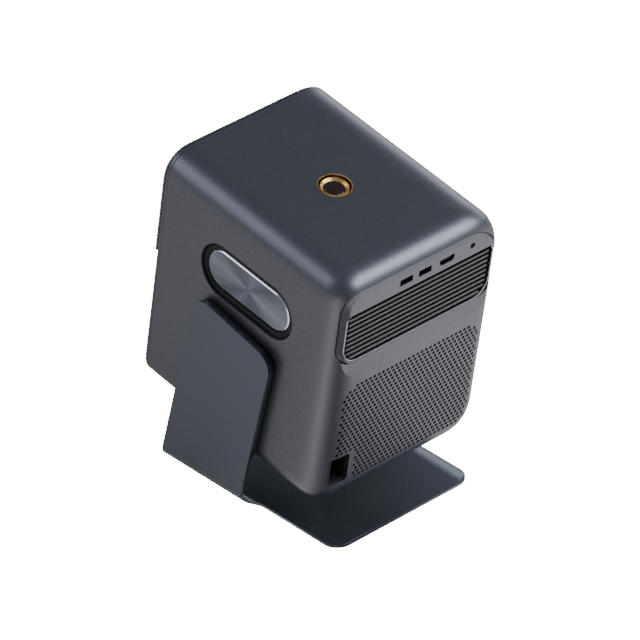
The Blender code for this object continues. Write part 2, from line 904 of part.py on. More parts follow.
def add_louvre(case):
    """Rim and slats in one piece: each slat leans down and out, and its ends curve back."""
    front = -insert_sink + rim_proud
    back = front - rim_depth
    grille = swept("louver_grille", "Y", window_outline(seam), back, front, "black_plastic", case)
    inner = window_outline(seam + rim_wall)
    remove(grille, "Y", inner, back - overrun, front + overrun)
    top = window_top - slat_top_gap
    pitch = (top - window_foot - slat_foot_gap) / (slat_count - 1)
    slats = bmesh.new()
    for index in range(slat_count):
        height = top - pitch * index
        half = window_reach(height) - seam - rim_wall / 2
        plan = rounded_rectangle(
            -half,
            half,
            -slat_depth,
            0.0,
            (slat_nose, slat_nose, smallest_corner, smallest_corner),
            steps=3,
        )
        outline = [(-window_half_width, -slat_depth), (-window_half_width, -slat_nose)]
        outline += [point for point in reversed(plan) if point[1] > -slat_nose]
        outline += [(window_half_width, -slat_nose), (window_half_width, -slat_depth)]
        lean = Matrix.Rotation(-slat_tilt, 4, "X")
        place = Matrix.Translation((0.0, front - slat_set_back, height))
        rows = []
        for level in (-slat_thickness / 2, slat_thickness / 2):
            rows.append([slats.verts.new(place @ lean @ Vector((u, v, level))) for u, v in outline])
        for step in range(len(outline)):
            after = (step + 1) % len(outline)
            slats.faces.new((rows[0][step], rows[0][after], rows[1][after], rows[1][step]))
        slats.faces.new(rows[0])
        slats.faces.new(reversed(rows[1]))
    blades = keep("slats", slats, "black_plastic", case)
    bounds = window_outline(seam + rim_wall / 2)
    combine(
        blades,
        swept("slat_bounds", "Y", bounds, back, front + overrun, "black_plastic", case),
        "INTERSECT",
    )
    join(grille, blades)


def add_rear_grille(case):
    """Perforated field cut from the same curved skin as the shell, with the inlet's opening."""
    grille = keep("rear_grille", case_skin(grille_thickness), "satin_slate", case)
    combine(
        grille,
        swept("grille_bounds", "Y", grille_outline(seam), -rear_roll / 2, overrun, "satin_slate", case),
        "INTERSECT",
    )
    remove(grille, "Y", inlet_outline(), -rear_roll, overrun)
    holes = bmesh.new()
    row_pitch = hole_pitch * math.sqrt(3) / 2
    low = grille_foot + hole_margin + hole_radius
    high = grille_head - hole_margin - hole_radius
    side = grille_half_width - hole_margin - hole_radius
    rows = int((high - low) / row_pitch) + 1
    first_row = (low + high - row_pitch * (rows - 1)) / 2
    columns = int(2 * side / hole_pitch)
    clear = inlet_margin + hole_radius
    for row in range(rows):
        height = first_row + row_pitch * row
        shift = hole_pitch / 2 * (row % 2)
        for column in range(columns + 1 - row % 2):
            across = hole_pitch * (column - columns / 2) + shift
            by_inlet = across > inlet_x - inlet_width / 2 - clear
            by_inlet = by_inlet and height < inlet_z + inlet_height / 2 + clear
            in_corner = abs(across) > side - hole_pitch / 2
            in_corner = in_corner and not low + hole_pitch < height < high - hole_pitch
            if by_inlet or in_corner:
                continue
            outline = circle(across, height, hole_radius, 6)
            rings = []
            for place in (-rear_roll / 2, overrun):
                rings.append([holes.verts.new(spread("Y", u, v, place)) for u, v in outline])
            for step in range(6):
                after = (step + 1) % 6
                holes.faces.new((rings[0][step], rings[0][after], rings[1][after], rings[1][step]))
            holes.faces.new(rings[0])
            holes.faces.new(reversed(rings[1]))
    cut(grille, keep("grille_holes", holes, "satin_slate", case))


def add_sockets(case):
    """Metal sockets with their tongues, the audio jack and the mains inlet with its two pins."""
    front = -insert_sink - seam
    back = front - socket_depth
    sockets = [("hdmi_port", hdmi_centre, hdmi_width, hdmi_height, hdmi_chamfer)]
    for letter, centre in zip("ab", usb_centres):
        sockets.append((f"usb_port_{letter}", centre, usb_width, usb_height, 0))
    for name, centre, width, height, chamfer in sockets:
        outer = socket_outline(centre, width - 2 * seam, height - 2 * seam, chamfer)
        body = swept(name, "Y", outer, back, front, "bright_steel", case)
        shrink = 2 * seam + 2 * socket_wall
        inner = socket_outline(centre, width - shrink, height - shrink, chamfer)
        floor = back + socket_floor
        remove(body, "Y", inner, floor, front + overrun)
        tongue = centred_rectangle(centre, socket_height, width - 3 * usb_tongue, usb_tongue)
        root = floor - seam
        tip = front - usb_tongue
        join(body, swept(f"{name}_tongue", "Y", tongue, root, tip, "bright_steel", case))

    jack = [(jack_bore, back), (jack_radius, back), (jack_radius, front), (jack_bore, front)]
    turned("audio_jack", "Y", jack_centre, jack_height, jack, "black_plastic", case, round_steps // 2)

    rim = -inlet_front
    deep = rim - inlet_depth
    body = swept("inlet_socket", "Y", inlet_outline(seam), deep, rim, "black_plastic", case)
    mouth = inlet_outline(seam + inlet_wall)
    floor = deep + inlet_floor
    remove(body, "Y", mouth, floor, rim + overrun)
    for side in (-1, 1):
        pin = circle(inlet_x, inlet_z + side * pin_gap / 2, pin_radius, 10)
        name = "inlet_pin_" + ("upper" if side > 0 else "lower")
        root = floor - inlet_floor / 2
        join(body, swept(name, "Y", pin, root, floor + pin_length, "black_plastic", case))


def add_radiator(case, moving):
    """Passive radiator at the arm side: rubber surround, spun plate and the sealed box behind."""
    centre = (-radiator_back, radiator_rise)
    box_face = half_width - case_wall - seam
    outline = plain_rectangle(
        -speaker_box_front, -speaker_box_rear, shelf_top, speaker_box_top, speaker_box_edge
    )
    box = swept("speaker_box", "X", outline, speaker_box_inner, box_face, "grey_plastic", case)
    mouth = stadium(*centre, radiator_length, radiator_height)
    remove(box, "X", mouth, box_face - cavity_depth, box_face + overrun)

    skin = half_width - surround_sink
    outer_length = radiator_length - 2 * seam
    outer_height = radiator_height - 2 * seam
    inner_length = plate_length + 2 * plate_gap
    inner_height = plate_height + 2 * plate_gap
    band = (outer_length - inner_length) / 2 - 2 * surround_lip
    band_steps = 5
    deep = skin - surround_depth
    flat = skin - surround_roll
    profile = [(0.0, deep), (0.0, flat), (surround_lip, flat)]
    for step in range(1, band_steps):
        angle = math.pi * step / band_steps
        place = surround_lip + band * (1 - math.cos(angle)) / 2
        profile.append((place, flat + surround_roll * math.sin(angle)))
    full = (outer_length - inner_length) / 2
    profile += [(full - surround_lip, flat), (full, flat), (full, deep)]
    mesh_data = bmesh.new()
    rows = []
    for inset, along in profile:
        ring = stadium(*centre, outer_length - 2 * inset, outer_height - 2 * inset)
        rows.append([mesh_data.verts.new(spread("X", u, v, along)) for u, v in ring])
    count = len(rows[0])
    for index, first in enumerate(rows):
        second = rows[(index + 1) % len(rows)]
        for point in range(count):
            after = (point + 1) % count
            mesh_data.faces.new((first[point], first[after], second[after], second[point]))
    keep("radiator_surround", mesh_data, "black_rubber", case)

    face = half_width - plate_sink
    rings = []
    levels = [(0.0, face - plate_depth), (0.0, face - plate_chamfer), (plate_chamfer, face)]
    for inset, along in levels:
        ring = stadium(*centre, plate_length - 2 * inset, plate_height - 2 * inset)
        rings.append([spread("X", u, v, along) for u, v in ring])
    hang(keep("radiator_plate", loft(rings), "spun_aluminium", case), moving)


def add_button(case, moving):
    """Gold ring let into the top, a dished gold button with a black lens, and its switch."""
    centre = (button_x, -button_back)
    top = case_height + button_ring_proud
    foot = top - button_ring_depth
    bore = button_ring_radius - button_ring_wall
    underside = case_height - case_wall - seam
    flange = button_ring_radius + button_ring_flange
    ring = [
        (bore, foot),
        (flange, foot),
        (flange, underside),
        (button_ring_radius, underside),
        (button_ring_radius, top),
        (bore, top),
    ]
    turned("button_ring", "Z", *centre, ring, "gold", case)

    radius = bore - button_gap
    rim = case_height - button_sink
    dish = rim - button_dish
    base = rim - button_thickness
    lens_edge = button_lens_radius + seam
    stem = base - button_stem_length
    bed = dish - button_lens_thickness - seam
    cap = [
        (0, stem),
        (button_stem_radius, stem),
        (button_stem_radius, base),
        (radius, base),
        (radius, rim),
        (lens_edge, dish),
        (lens_edge, bed),
        (0, bed),
    ]
    hang(turned("power_button", "Z", *centre, cap, "gold", case), moving)
    lens = disc_profile(button_lens_radius, bed + seam, dish)
    hang(turned("button_lens", "Z", *centre, lens, "black_glass", case), moving)

    board_top = main_board_foot + board_thickness + seam
    tact_top = stem - button_travel - seam
    outline = centred_rectangle(*centre, switch_width, switch_width, board_thickness / 2)
    swept("button_switch", "Z", outline, board_top, tact_top, "black_plastic", case)


def add_boards(case):
    """Main board under the sockets and the power board on stand-offs over the case floor."""
    outline = plain_rectangle(
        main_board_far, main_board_near, -main_board_front, -main_board_rear, board_thickness
    )
    top = main_board_foot + board_thickness
    board = swept("main_board", "Z", outline, main_board_foot, top, "board_green", case)
    span = main_board_near - main_board_far
    for share_x, share_y in chip_shares:
        x = main_board_far + span * share_x
        y = -main_board_front + (main_board_front - main_board_rear) * share_y
        chip = centred_rectangle(x, y, chip_side, chip_side)
        name = f"board_chip_{round(share_x * 100)}"
        root = top - board_thickness / 2
        join(board, swept(name, "Z", chip, root, top + chip_height, "board_green", case))

    floor = case_wall + seam
    foot = floor + board_stand_off
    outline = plain_rectangle(supply_far, supply_near, -supply_front, -supply_rear, board_thickness)
    supply = swept("power_supply", "Z", outline, foot, foot + board_thickness, "board_green", case)
    root = foot + board_thickness / 2
    inset = board_stand_off
    for word_x, x in (("far", supply_far + inset), ("near", supply_near - inset)):
        for word_y, y in (("front", inset - supply_front), ("rear", -supply_rear - inset)):
            post = circle(x, y, board_stand_off / 2, 10)
            name = f"supply_post_{word_x}_{word_y}"
            join(supply, swept(name, "Z", post, floor, root, "board_green", case))
    for share in supply_block_shares:
        x = supply_far + (supply_near - supply_far) * share
        y = -(supply_front + supply_rear) / 2
        block = centred_rectangle(x, y, supply_block_width, supply_block_length)
        name = f"supply_block_{round(share * 100)}"
        join(supply, swept(name, "Z", block, root, foot + supply_height, "board_green", case))


def add_optics(case, focus):
    """Shelf, light engine, lens barrel, the focusing sleeve with its front lens, and the sensor."""
    wall = half_width - case_wall - seam
    outline = plain_rectangle(-wall, wall, -chassis_front, -chassis_rear, chassis_corner, 4)
    swept("chassis", "Z", outline, chassis_foot, chassis_foot + chassis_thickness, "grey_plastic", case)

    engine_top = main_board_foot - seam
    outline = plain_rectangle(engine_far, engine_near, shelf_top, engine_top, engine_edge)
    engine = swept("light_engine", "Y", outline, -engine_front, -engine_rear, "black_plastic", case)
    pocket = circle(lens_x, lens_z, barrel_radius - barrel_wall)
    remove(engine, "Y", pocket, -engine_front - overrun, -sleeve_rear + barrel_radius)

    root = engine_front + seam
    collar = root + barrel_flange_thickness
    bore = barrel_radius - barrel_wall
    barrel = [
        (bore, -root),
        (barrel_radius + barrel_flange, -root),
        (barrel_radius + barrel_flange, -collar),
        (barrel_radius, -collar),
        (barrel_radius, -barrel_front),
        (bore, -barrel_front),
    ]
    turned("lens_barrel", "Y", lens_x, lens_z, barrel, "black_plastic", case)

    outer = bore - 2 * running_gap
    inner = outer - sleeve_wall
    seat = sleeve_front - lens_thickness - lens_seat
    sleeve = [
        (inner - lens_seat, -sleeve_rear),
        (outer, -sleeve_rear),
        (outer, -sleeve_front),
        (inner, -sleeve_front),
        (inner, -seat),
        (inner - lens_seat, -seat),
    ]
    hang(turned("focus_sleeve", "Y", lens_x, lens_z, sleeve, "bright_steel", case), focus)
    edge = inner - seam
    rear = seat + seam
    front = rear + lens_thickness - lens_bulge
    lens = [(0, -rear), (edge, -rear), (edge, -front)]
    bulge_steps = 4
    for step in range(1, bulge_steps):
        angle = math.pi / 2 * step / bulge_steps
        lens.append((edge * math.cos(angle), -front - lens_bulge * math.sin(angle)))
    lens.append((0, -front - lens_bulge))
    hang(turned("projection_lens", "Y", lens_x, lens_z, lens, "lens_glass", case), focus)

    window = case_depth + seam
    sensor_back = barrel_front - sensor_eye
    outline = centred_rectangle(sensor_x, sensor_z, sensor_width, sensor_height, sensor_eye / 4)
    sensor = swept("sensor_module", "Y", outline, -window + seam, -sensor_back, "black_plastic", case)
    for side in (-1, 1):
        eye = circle(sensor_x + side * sensor_width / 4, sensor_z, sensor_eye, 14)
        name = "sensor_eye_" + ("near" if side > 0 else "far")
        remove(sensor, "Y", eye, -window - overrun, -window + sensor_eye / 2)


def add_cooling(case, spin):
    """Finned heat sink behind the light engine and a framed fan that blows out of the louvre."""
    top = main_board_foot - seam
    points = [(sink_near, -sink_front), (sink_near, -sink_rear)]
    width = sink_near - sink_far
    gap = (width - fin_count * fin_thickness) / (fin_count - 1)
    for index in range(fin_count - 1):
        right = sink_near - fin_thickness - index * (fin_thickness + gap)
        points += [(right, -sink_rear), (right, -sink_front + sink_base)]
        points += [(right - gap, -sink_front + sink_base), (right - gap, -sink_rear)]
    points += [(sink_far, -sink_rear), (sink_far, -sink_front)]
    swept("heat_sink", "Z", points, shelf_top, top, "spun_aluminium", case)

    fan_z = shelf_top + fan_side / 2
    bore = fan_side / 2 - fan_bore_gap
    back = -fan_rear
    front = back - fan_depth
    outline = centred_rectangle(fan_x, fan_z, fan_side, fan_side, fan_plate)
    frame = swept("fan_frame", "Y", outline, front, back, "black_plastic", case)
    hole = circle(fan_x, fan_z, bore)
    remove(frame, "Y", hole, front - overrun, back + overrun)
    plate_back = front + fan_plate
    hub_seat = circle(fan_x, fan_z, fan_hub_radius)
    join(frame, swept("fan_seat", "Y", hub_seat, front, plate_back, "black_plastic", case))
    pin = circle(fan_x, fan_z, fan_pin_radius, 12)
    pin_end = back - fan_end_gap - fan_plate
    join(frame, swept("fan_pin", "Y", pin, front + fan_plate / 2, pin_end, "black_plastic", case))
    for index in range(3):
        strut_end = bore + fan_bore_gap / 2
        strut = plain_rectangle(fan_hub_radius / 2, strut_end, -fan_strut / 2, fan_strut / 2)
        mesh_data = loft([[spread("Y", u, v, place) for u, v in strut] for place in (front, plate_back)])
        turn = Matrix.Rotation(math.radians(90 + 120 * index), 4, "Y")
        shift = Matrix.Translation((fan_x, 0.0, fan_z))
        bmesh.ops.transform(mesh_data, matrix=shift @ turn, verts=mesh_data.verts)
        join(frame, keep(f"fan_strut_{index}", mesh_data, "black_plastic", case))

    hub_front = plate_back + fan_end_gap
    hub_back = back - fan_end_gap
    cup = [
        (fan_pin_radius + running_gap, hub_front),
        (fan_hub_radius, hub_front),
        (fan_hub_radius, hub_back),
        (0, hub_back),
        (0, hub_back - fan_plate / 2),
        (fan_pin_radius + running_gap, hub_back - fan_plate / 2),
    ]
    rotor = turned("fan_rotor", "Y", fan_x, fan_z, cup, "black_plastic", case, 20)
    hang(rotor, spin)
    tip = bore - fan_tip_gap
    chord = (hub_back - hub_front) / 2
    for index in range(blade_count):
        rings = []
        for radius in (fan_hub_radius - blade_thickness, (fan_hub_radius + tip) / 2, tip):
            share = (radius - fan_hub_radius) / (tip - fan_hub_radius)
            pitch = blade_pitch * (1 + share / 3)
            lead = Vector((0.0, math.cos(pitch), math.sin(pitch))) * chord * blade_chord_share
            thick = Vector((0.0, -math.sin(pitch), math.cos(pitch))) * blade_thickness / 2
            middle = Vector((radius, (hub_front + hub_back) / 2, 0.0))
            ahead = [middle + lead + thick, middle - lead + thick]
            behind = [middle - lead - thick, middle + lead - thick]
            rings.append(ahead + behind)
        mesh_data = loft(rings)
        turn = Matrix.Rotation(2 * math.pi * index / blade_count, 4, "Y")
        shift = Matrix.Translation((fan_x, 0.0, fan_z))
        bmesh.ops.transform(mesh_data, matrix=shift @ turn, verts=mesh_data.verts)
        join(rotor, keep(f"blade_{index}", mesh_data, "black_plastic", case))


def add_speakers(case):
    """Two full-range drivers in a moulded housing behind the lower front grille."""
    outline = case_outline(case_wall + seam)
    housing = swept("speaker_housing", "Y", outline, -housing_front, -housing_rear, "grey_plastic", case)
    over = plain_rectangle(-case_width, case_width, housing_top, housing_top + case_height)
    remove(housing, "Y", over, -housing_front - overrun, -housing_rear + overrun)
    flange_back = speaker_face - speaker_flange
    for side, word in ((1, "near"), (-1, "far")):
        x = side * speaker_x
        bore = circle(x, speaker_z, speaker_basket + speaker_flange + seam)
        remove(housing, "Y", bore, -housing_front - overrun, -housing_rear + overrun)
        back = speaker_face - speaker_depth
        waist = (flange_back + back) / 2
        driver = [
            (0, -back),
            (speaker_magnet, -back),
            (speaker_magnet, -waist),
            (speaker_basket + speaker_flange, -flange_back + seam),
            (speaker_radius, -flange_back),
            (speaker_radius, -speaker_face),
            (speaker_basket + speaker_flange, -speaker_face),
            (speaker_basket, -speaker_face + speaker_flange / 2),
            (speaker_cap, -speaker_face + speaker_cone_depth),
            (speaker_cap / 2, -speaker_face + speaker_cone_depth - speaker_flange),
            (0, -speaker_face + speaker_cone_depth - speaker_flange - seam),
        ]
        turned(f"speaker_{word}", "Y", x, speaker_z, driver, "paper_cone", case)


def empty(name, place, carrier=None):
    made = bpy.data.objects.new(name, None)
    made.location = place
    made.parent = carrier
    bpy.context.scene.collection.objects.link(made)
    return made


def hang(made, axis):
    """Hands a piece that is built in the case's axes to the empty that it moves with."""
    made.parent = axis
    made.matrix_parent_inverse = axis.matrix_basis.inverted()


def main():
    for old in list(bpy.data.objects):
        bpy.data.objects.remove(old, do_unlink=True)
    stand = empty("stand", (0.0, 0.0, 0.0))
    tilt = empty("tilt_axis", (0.0, 0.0, pivot_height), stand)
    tilt.rotation_euler = (-rest_tilt, 0.0, 0.0)
    case = empty("case_axes", (0.0, pivot_back, -pivot_rise), tilt)
    radiator_axis = empty("radiator_axis", (half_width, -radiator_back, radiator_rise), case)
    button_axis = empty("button_axis", (button_x, -button_back, case_height), case)
    focus_axis = empty("focus_axis", (lens_x, -sleeve_front, lens_z), case)
    fan_axis = empty("fan_axis", (fan_x, -fan_rear, shelf_top + fan_side / 2), case)
    add_stand(stand)
    add_arm_liner(stand)
    add_hinge(stand, case)
    add_main_shell(case)
    add_front(case)
    add_rear_insert(case)
    add_louvre(case)
    add_rear_grille(case)
    add_sockets(case)
    add_radiator(case, radiator_axis)
    add_button(case, button_axis)
    add_boards(case)
    add_optics(case, focus_axis)
    add_cooling(case, fan_axis)
    add_speakers(case)


main()
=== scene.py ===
"""A portable video projector on a folded steel stand, dressed for a studio picture.

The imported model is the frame. Every size here is in millimetres. Pieces of the case are drawn in
the case's own axes: x from its middle, y from its rear face, z from its underside. Pieces of the
stand are drawn in the model's axes. The case's axes are read from the model's joints, so the
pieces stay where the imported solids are. GAP is the least clearance, THROUGH is how far a cutter
passes what it cuts, and FAR is past the whole part.
"""
import json
import math

import bmesh
import bpy
from mathutils import Matrix, Vector
from mathutils.bvhtree import BVHTree


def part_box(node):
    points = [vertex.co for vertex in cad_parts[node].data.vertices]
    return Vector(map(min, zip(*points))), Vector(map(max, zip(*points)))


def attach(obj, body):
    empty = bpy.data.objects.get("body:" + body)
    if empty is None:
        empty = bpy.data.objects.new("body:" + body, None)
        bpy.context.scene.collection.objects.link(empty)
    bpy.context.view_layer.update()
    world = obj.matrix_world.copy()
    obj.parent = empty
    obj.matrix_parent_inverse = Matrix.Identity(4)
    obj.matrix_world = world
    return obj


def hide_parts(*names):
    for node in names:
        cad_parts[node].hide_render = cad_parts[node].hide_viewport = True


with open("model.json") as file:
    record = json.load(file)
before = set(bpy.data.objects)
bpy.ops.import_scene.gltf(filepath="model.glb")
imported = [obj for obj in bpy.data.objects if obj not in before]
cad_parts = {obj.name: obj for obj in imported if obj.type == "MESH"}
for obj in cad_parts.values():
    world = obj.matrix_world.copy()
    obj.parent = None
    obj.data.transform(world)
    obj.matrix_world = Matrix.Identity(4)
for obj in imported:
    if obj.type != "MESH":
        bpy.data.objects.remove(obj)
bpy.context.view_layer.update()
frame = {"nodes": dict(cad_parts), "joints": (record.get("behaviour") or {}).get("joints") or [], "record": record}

MM = 0.001
GAP = 0.3
THROUGH = 3.0
FAR = 200.0

# Case
case_width = 168.0
case_depth = 193.5
case_height = 216.0
case_wall = 4.2
near_corner = 25.5
far_top_corner = 42.0
far_bottom_corner = 34.0
rear_roll = 24.5
edge_exponent = 2.5
corner_steps = 22
roll_steps = 16
half_width = case_width / 2
far_side_mount = (-half_width, -100.0, 100.0)

# Rear bay, insert and louvre window
insert_half_width = 78.5
insert_foot = 136.9
insert_top = 206.3
insert_corner = 17.5
insert_far_corner = 34.0
insert_sink = 3.2
insert_depth = 12.0
insert_face = 3.0
insert_wall = 3.0
insert_foot_wall = 2.2
band_width = 6.4
band_drop = 1.7
band_steps = 6
band_curve = 1.1
slope_reach = 10.2
seam_width = 0.45
foot_seam = 0.05
window_half_width = 73.5
window_foot = 138.7
window_top = 184.7
window_foot_corner = 15.5
window_top_corner = 5.0
rim_depth = 11.0
lip_stop = 1.6
slat_count = 9
slat_top_gap = 4.7
slat_foot_gap = 4.0
slat_thickness = 1.75
slat_depth = 1.5
slat_set_back = 0.6
slat_nose = 2.6
slat_end_gap = 1.6
slat_tilt = math.radians(-28.0)
slat_steps = 8
screen_inset = 0.5
screen_foot_corner = 14.0
screen_places = (8.6, 8.2)

# Sockets
socket_height = 193.1
usb_centres = (16.3, -2.5)
usb_size = (12.8, 5.9)
hdmi_centre = -24.5
hdmi_size = (15.0, 6.1)
hdmi_chamfer = 2.2
jack_centre = -50.5
jack_height = 194.4
jack_radius = 2.6
jack_bore = 1.8
socket_sink = 0.5
socket_length = 12.0
socket_front = -insert_sink - socket_sink
socket_back = socket_front - socket_length
socket_floor = 2.0
socket_corner = 0.5
tongue_root = 1.0
tongue_corner = 0.3
usb_tongue_raise = 0.6
usb_tongue_height = 1.7
usb_tongue_sink = 3.0
hdmi_tongue_height = 1.4
hdmi_tongue_sink = 1.4
inlet_centre = (63.35, 34.45)
inlet_size = (18.3, 26.1)
inlet_corner = 3.2
inlet_wall = 1.3
inlet_sink = 1.6
inlet_length = 21.0
inlet_floor = 18.0
pin_radius = 1.2
pin_offset = 4.3
pin_sink = 9.1

# Perforated field
field_half_width = 71.0
field_foot = 15.0
field_head = 118.0
field_corner = 15.0
field_wall = 1.1
screen_fit = 0.99
hole_pitch = 4.35
row_pitch = hole_pitch * math.sqrt(3) / 2
hole_radius = 1.42
hole_sides = 14
hole_rows = 26
hole_columns = 32
top_row_height = 114.7
top_trims = {0: 2, 1: 1}
foot_trims = {23: 1, 25: 2}
inlet_clear_side = 5.0
inlet_clear_top = 1.5

# Side radiator and top button
radiator_centre = (-97.3, 150.7)
radiator_size = (100.0, 46.5)
plate_size = (88.5, 33.3)
plate_sink = 2.0
plate_depth = 2.8
plate_chamfer = 1.0
roll_sink = 1.2
roll_bed = 1.4
roll_foot = 3.0
roll_rise = 0.9
roll_hem = 0.7
bead_steps = 12
button_centre = (5.9, -95.9)
ring_radius = 13.7
ring_wall = 1.2
ring_lip = 0.3
ring_flange = 2.0
ring_flange_drop = 3.2
ring_depth = 7.4
cap_clearance = 1.3
cap_sink = 0.9
cap_skirt = 3.0
cap_depth = 8.0
stem_radius = 3.0
dish_depth = 1.9
lens_radius = 8.25

# Front
frame_depth = 2.6
frame_border = 8.0
frame_corner = 12.0
bar_width = 6.0
panel_foot = 124.6
panel_thickness = 2.2
glass_border = 7.0
glass_corner = 10.0
glass_thickness = 1.4
glass_bed = 1.7
glass_fit = 0.997
slot_rows = 10
slot_pitch = 9.5
slot_size = (63.0, 4.0)
slot_corner = 1.99
slot_offset = 34.5
cloth_places = (0.2, 0.5)
cloth_fit = 0.98

# Stand, in the model's own axes
plate_low, plate_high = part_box("stand_plate")
pivot = Vector({joint["name"]: joint for joint in frame["joints"]}["tilt"]["pos_m"]) / MM
plate_thickness = 2.5
bend_radius = 12.4
base_far_edge = plate_low.x / MM
base_front_edge = plate_low.y / MM
base_rear_edge = plate_high.y / MM
arm_plane = plate_high.x / MM
plate_underside = plate_low.z / MM
base_corner = 13.5
arm_width = 85.5
arm_lean = math.radians(15.0)
arm_ahead = 2.2
arm_reach = 31.0
arm_corner = 14.5
foot_fillet = 13.0
liner_thickness = 3.8
liner_inset = 0.6
liner_foot_height = 54.0
liner_corner = 9.0
shaft_head_radius = 17.0
liner_well_reach = 10.0


def case_axes():
    """Matrix from the case's millimetres to the model, from the joints and a side mount."""
    joints = {joint["name"]: joint for joint in frame["joints"]}
    mounts = {mount["name"]: mount for mount in frame["record"]["mounts"]}
    upward = -Vector(joints["button_press"]["axis"])
    rearward = -Vector(joints["focus_travel"]["axis"])
    turn = Matrix((Vector((1.0, 0.0, 0.0)), rearward, upward)).transposed()
    start = Vector(mounts["case_far_side"]["pos_m"]) - turn @ (Vector(far_side_mount) * MM)
    return Matrix.Translation(start) @ turn.to_4x4()


CASE = case_axes()
MODEL = Matrix.Identity(4)


# Meshes

def solid(name, mesh_data):
    """Work object in millimetres from bmesh data, with its faces pointing out."""
    bmesh.ops.remove_doubles(mesh_data, verts=mesh_data.verts, dist=GAP / 100)
    bmesh.ops.recalc_face_normals(mesh_data, faces=mesh_data.faces)
    mesh = bpy.data.meshes.new(name)
    mesh_data.to_mesh(mesh)
    mesh_data.free()
    made = bpy.data.objects.new(name, mesh)
    bpy.context.scene.collection.objects.link(made)
    return made


def bake(thing):
    """Applies the modifiers of a work object and clears them."""
    bpy.context.view_layer.update()
    graph = bpy.context.evaluated_depsgraph_get()
    mesh = bpy.data.meshes.new_from_object(thing.evaluated_get(graph))
    thing.modifiers.clear()
    thing.data = mesh
    return thing


def combine(thing, tools, operation):
    """Cuts with each tool, or keeps the volume it shares, then deletes the tools."""
    for tool in tools:
        step = thing.modifiers.new(operation, "BOOLEAN")
        step.operation = operation
        step.solver = "EXACT"
        step.object = tool
    bake(thing)
    for tool in tools:
        bpy.data.objects.remove(tool, do_unlink=True)


def cut(thing, *tools):
    combine(thing, tools, "DIFFERENCE")


def soften(thing, width, segments=2, limit=35.0):
    """Rounds the sharp edges of a work object."""
    step = thing.modifiers.new("soften", "BEVEL")
    step.width = width
    step.segments = segments
    step.limit_method = "ANGLE"
    step.angle_limit = math.radians(limit)
    return bake(thing)


def skin_normals(mesh, skin):
    """Gives every corner that lies on the skin the skin's own smooth normal, flat on its flats.
    The skin's front end is open on the real case, so its closing face counts for nothing."""
    front_facing = -0.9
    on_skin = GAP / 6
    same_way = 0.995
    tiny = 1e-6
    tree = BVHTree.FromPolygons([v.co for v in skin.vertices], [p.vertices for p in skin.polygons])
    smooth = [Vector() for _ in skin.vertices]
    for face in skin.polygons:
        if face.normal.y > front_facing:
            for vertex in face.vertices:
                smooth[vertex] += face.normal * face.area
    normals = [Vector(item.vector) for item in mesh.corner_normals]
    for polygon in mesh.polygons:
        for corner in polygon.loop_indices:
            point = mesh.vertices[mesh.loops[corner].vertex_index].co
            nearest, direction, index, distance = tree.find_nearest(point)
            if distance > on_skin or direction.dot(polygon.normal) < same_way:
                continue
            face = skin.polygons[index]
            blend = Vector()
            for vertex in face.vertices:
                reach = (skin.vertices[vertex].co - nearest).length
                blend += smooth[vertex].normalized() / (reach * reach + tiny)
            normals[corner] = blend.normalized()
    mesh.normals_split_custom_set(normals)


def settle(
        thing, material, body="case", axes=CASE, origin=None, replaces=(), skin=None, sharp=32.0):
    """Turns a work object in millimetres into a finished piece in the model's metres. A piece whose
    finish turns about a centre has its origin there."""
    mesh = thing.data
    mesh.shade_smooth()
    mesh.set_sharp_from_angle(angle=math.radians(sharp))
    if skin:
        skin_normals(mesh, skin)
    else:
        weigh = thing.modifiers.new("weigh", "WEIGHTED_NORMAL")
        weigh.keep_sharp = True
        bake(thing)
        mesh = thing.data
    if origin:
        mesh.transform(Matrix.Scale(MM, 4) @ Matrix.Translation(-Vector(origin)))
        thing.matrix_world = axes @ Matrix.Translation(Vector(origin) * MM)
    else:
        mesh.transform(axes @ Matrix.Scale(MM, 4))
    mesh.materials.clear()
    mesh.materials.append(material)
    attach(thing, body)
    if replaces:
        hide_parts(*replaces)


def spread(axis, across, up, along):
    """Places an outline point: across and up lie in the outline, along is the sweep direction."""
    if axis == "X":
        return Vector((along, across, up))
    if axis == "Y":
        return Vector((across, along, up))
    return Vector((across, up, along))


def join(mesh_data, rows, closed):
    """Faces between neighbouring rows of points, and from the last row to the first if closed."""
    count = len(rows[0])
    for first, second in zip(rows, rows[1:] + rows[:1] if closed else rows[1:]):
        for index in range(count):
            after = (index + 1) % count
            corners = dict.fromkeys((first[index], first[after], second[after], second[index]))
            if len(corners) > 2:
                mesh_data.faces.new(tuple(corners))


def loft(rings, mesh_data=None):
    """Skins rings that have equal numbers of points and closes both ends, in a mesh of its own or
    beside what a mesh holds already."""
    if mesh_data is None:
        mesh_data = bmesh.new()
    rows = [[mesh_data.verts.new(point) for point in ring] for ring in rings]
    join(mesh_data, rows, False)
    mesh_data.faces.new(rows[0])
    mesh_data.faces.new(reversed(rows[-1]))
    return mesh_data


def hoop(rings):
    """Skins rings that close on themselves, as the wall of a ring does."""
    mesh_data = bmesh.new()
    join(mesh_data, [[mesh_data.verts.new(point) for point in ring] for ring in rings], True)
    return mesh_data


def swept(name, outline, start, end, axis="Y"):
    rings = [[spread(axis, u, v, place) for u, v in outline] for place in (start, end)]
    return solid(name, loft(rings))


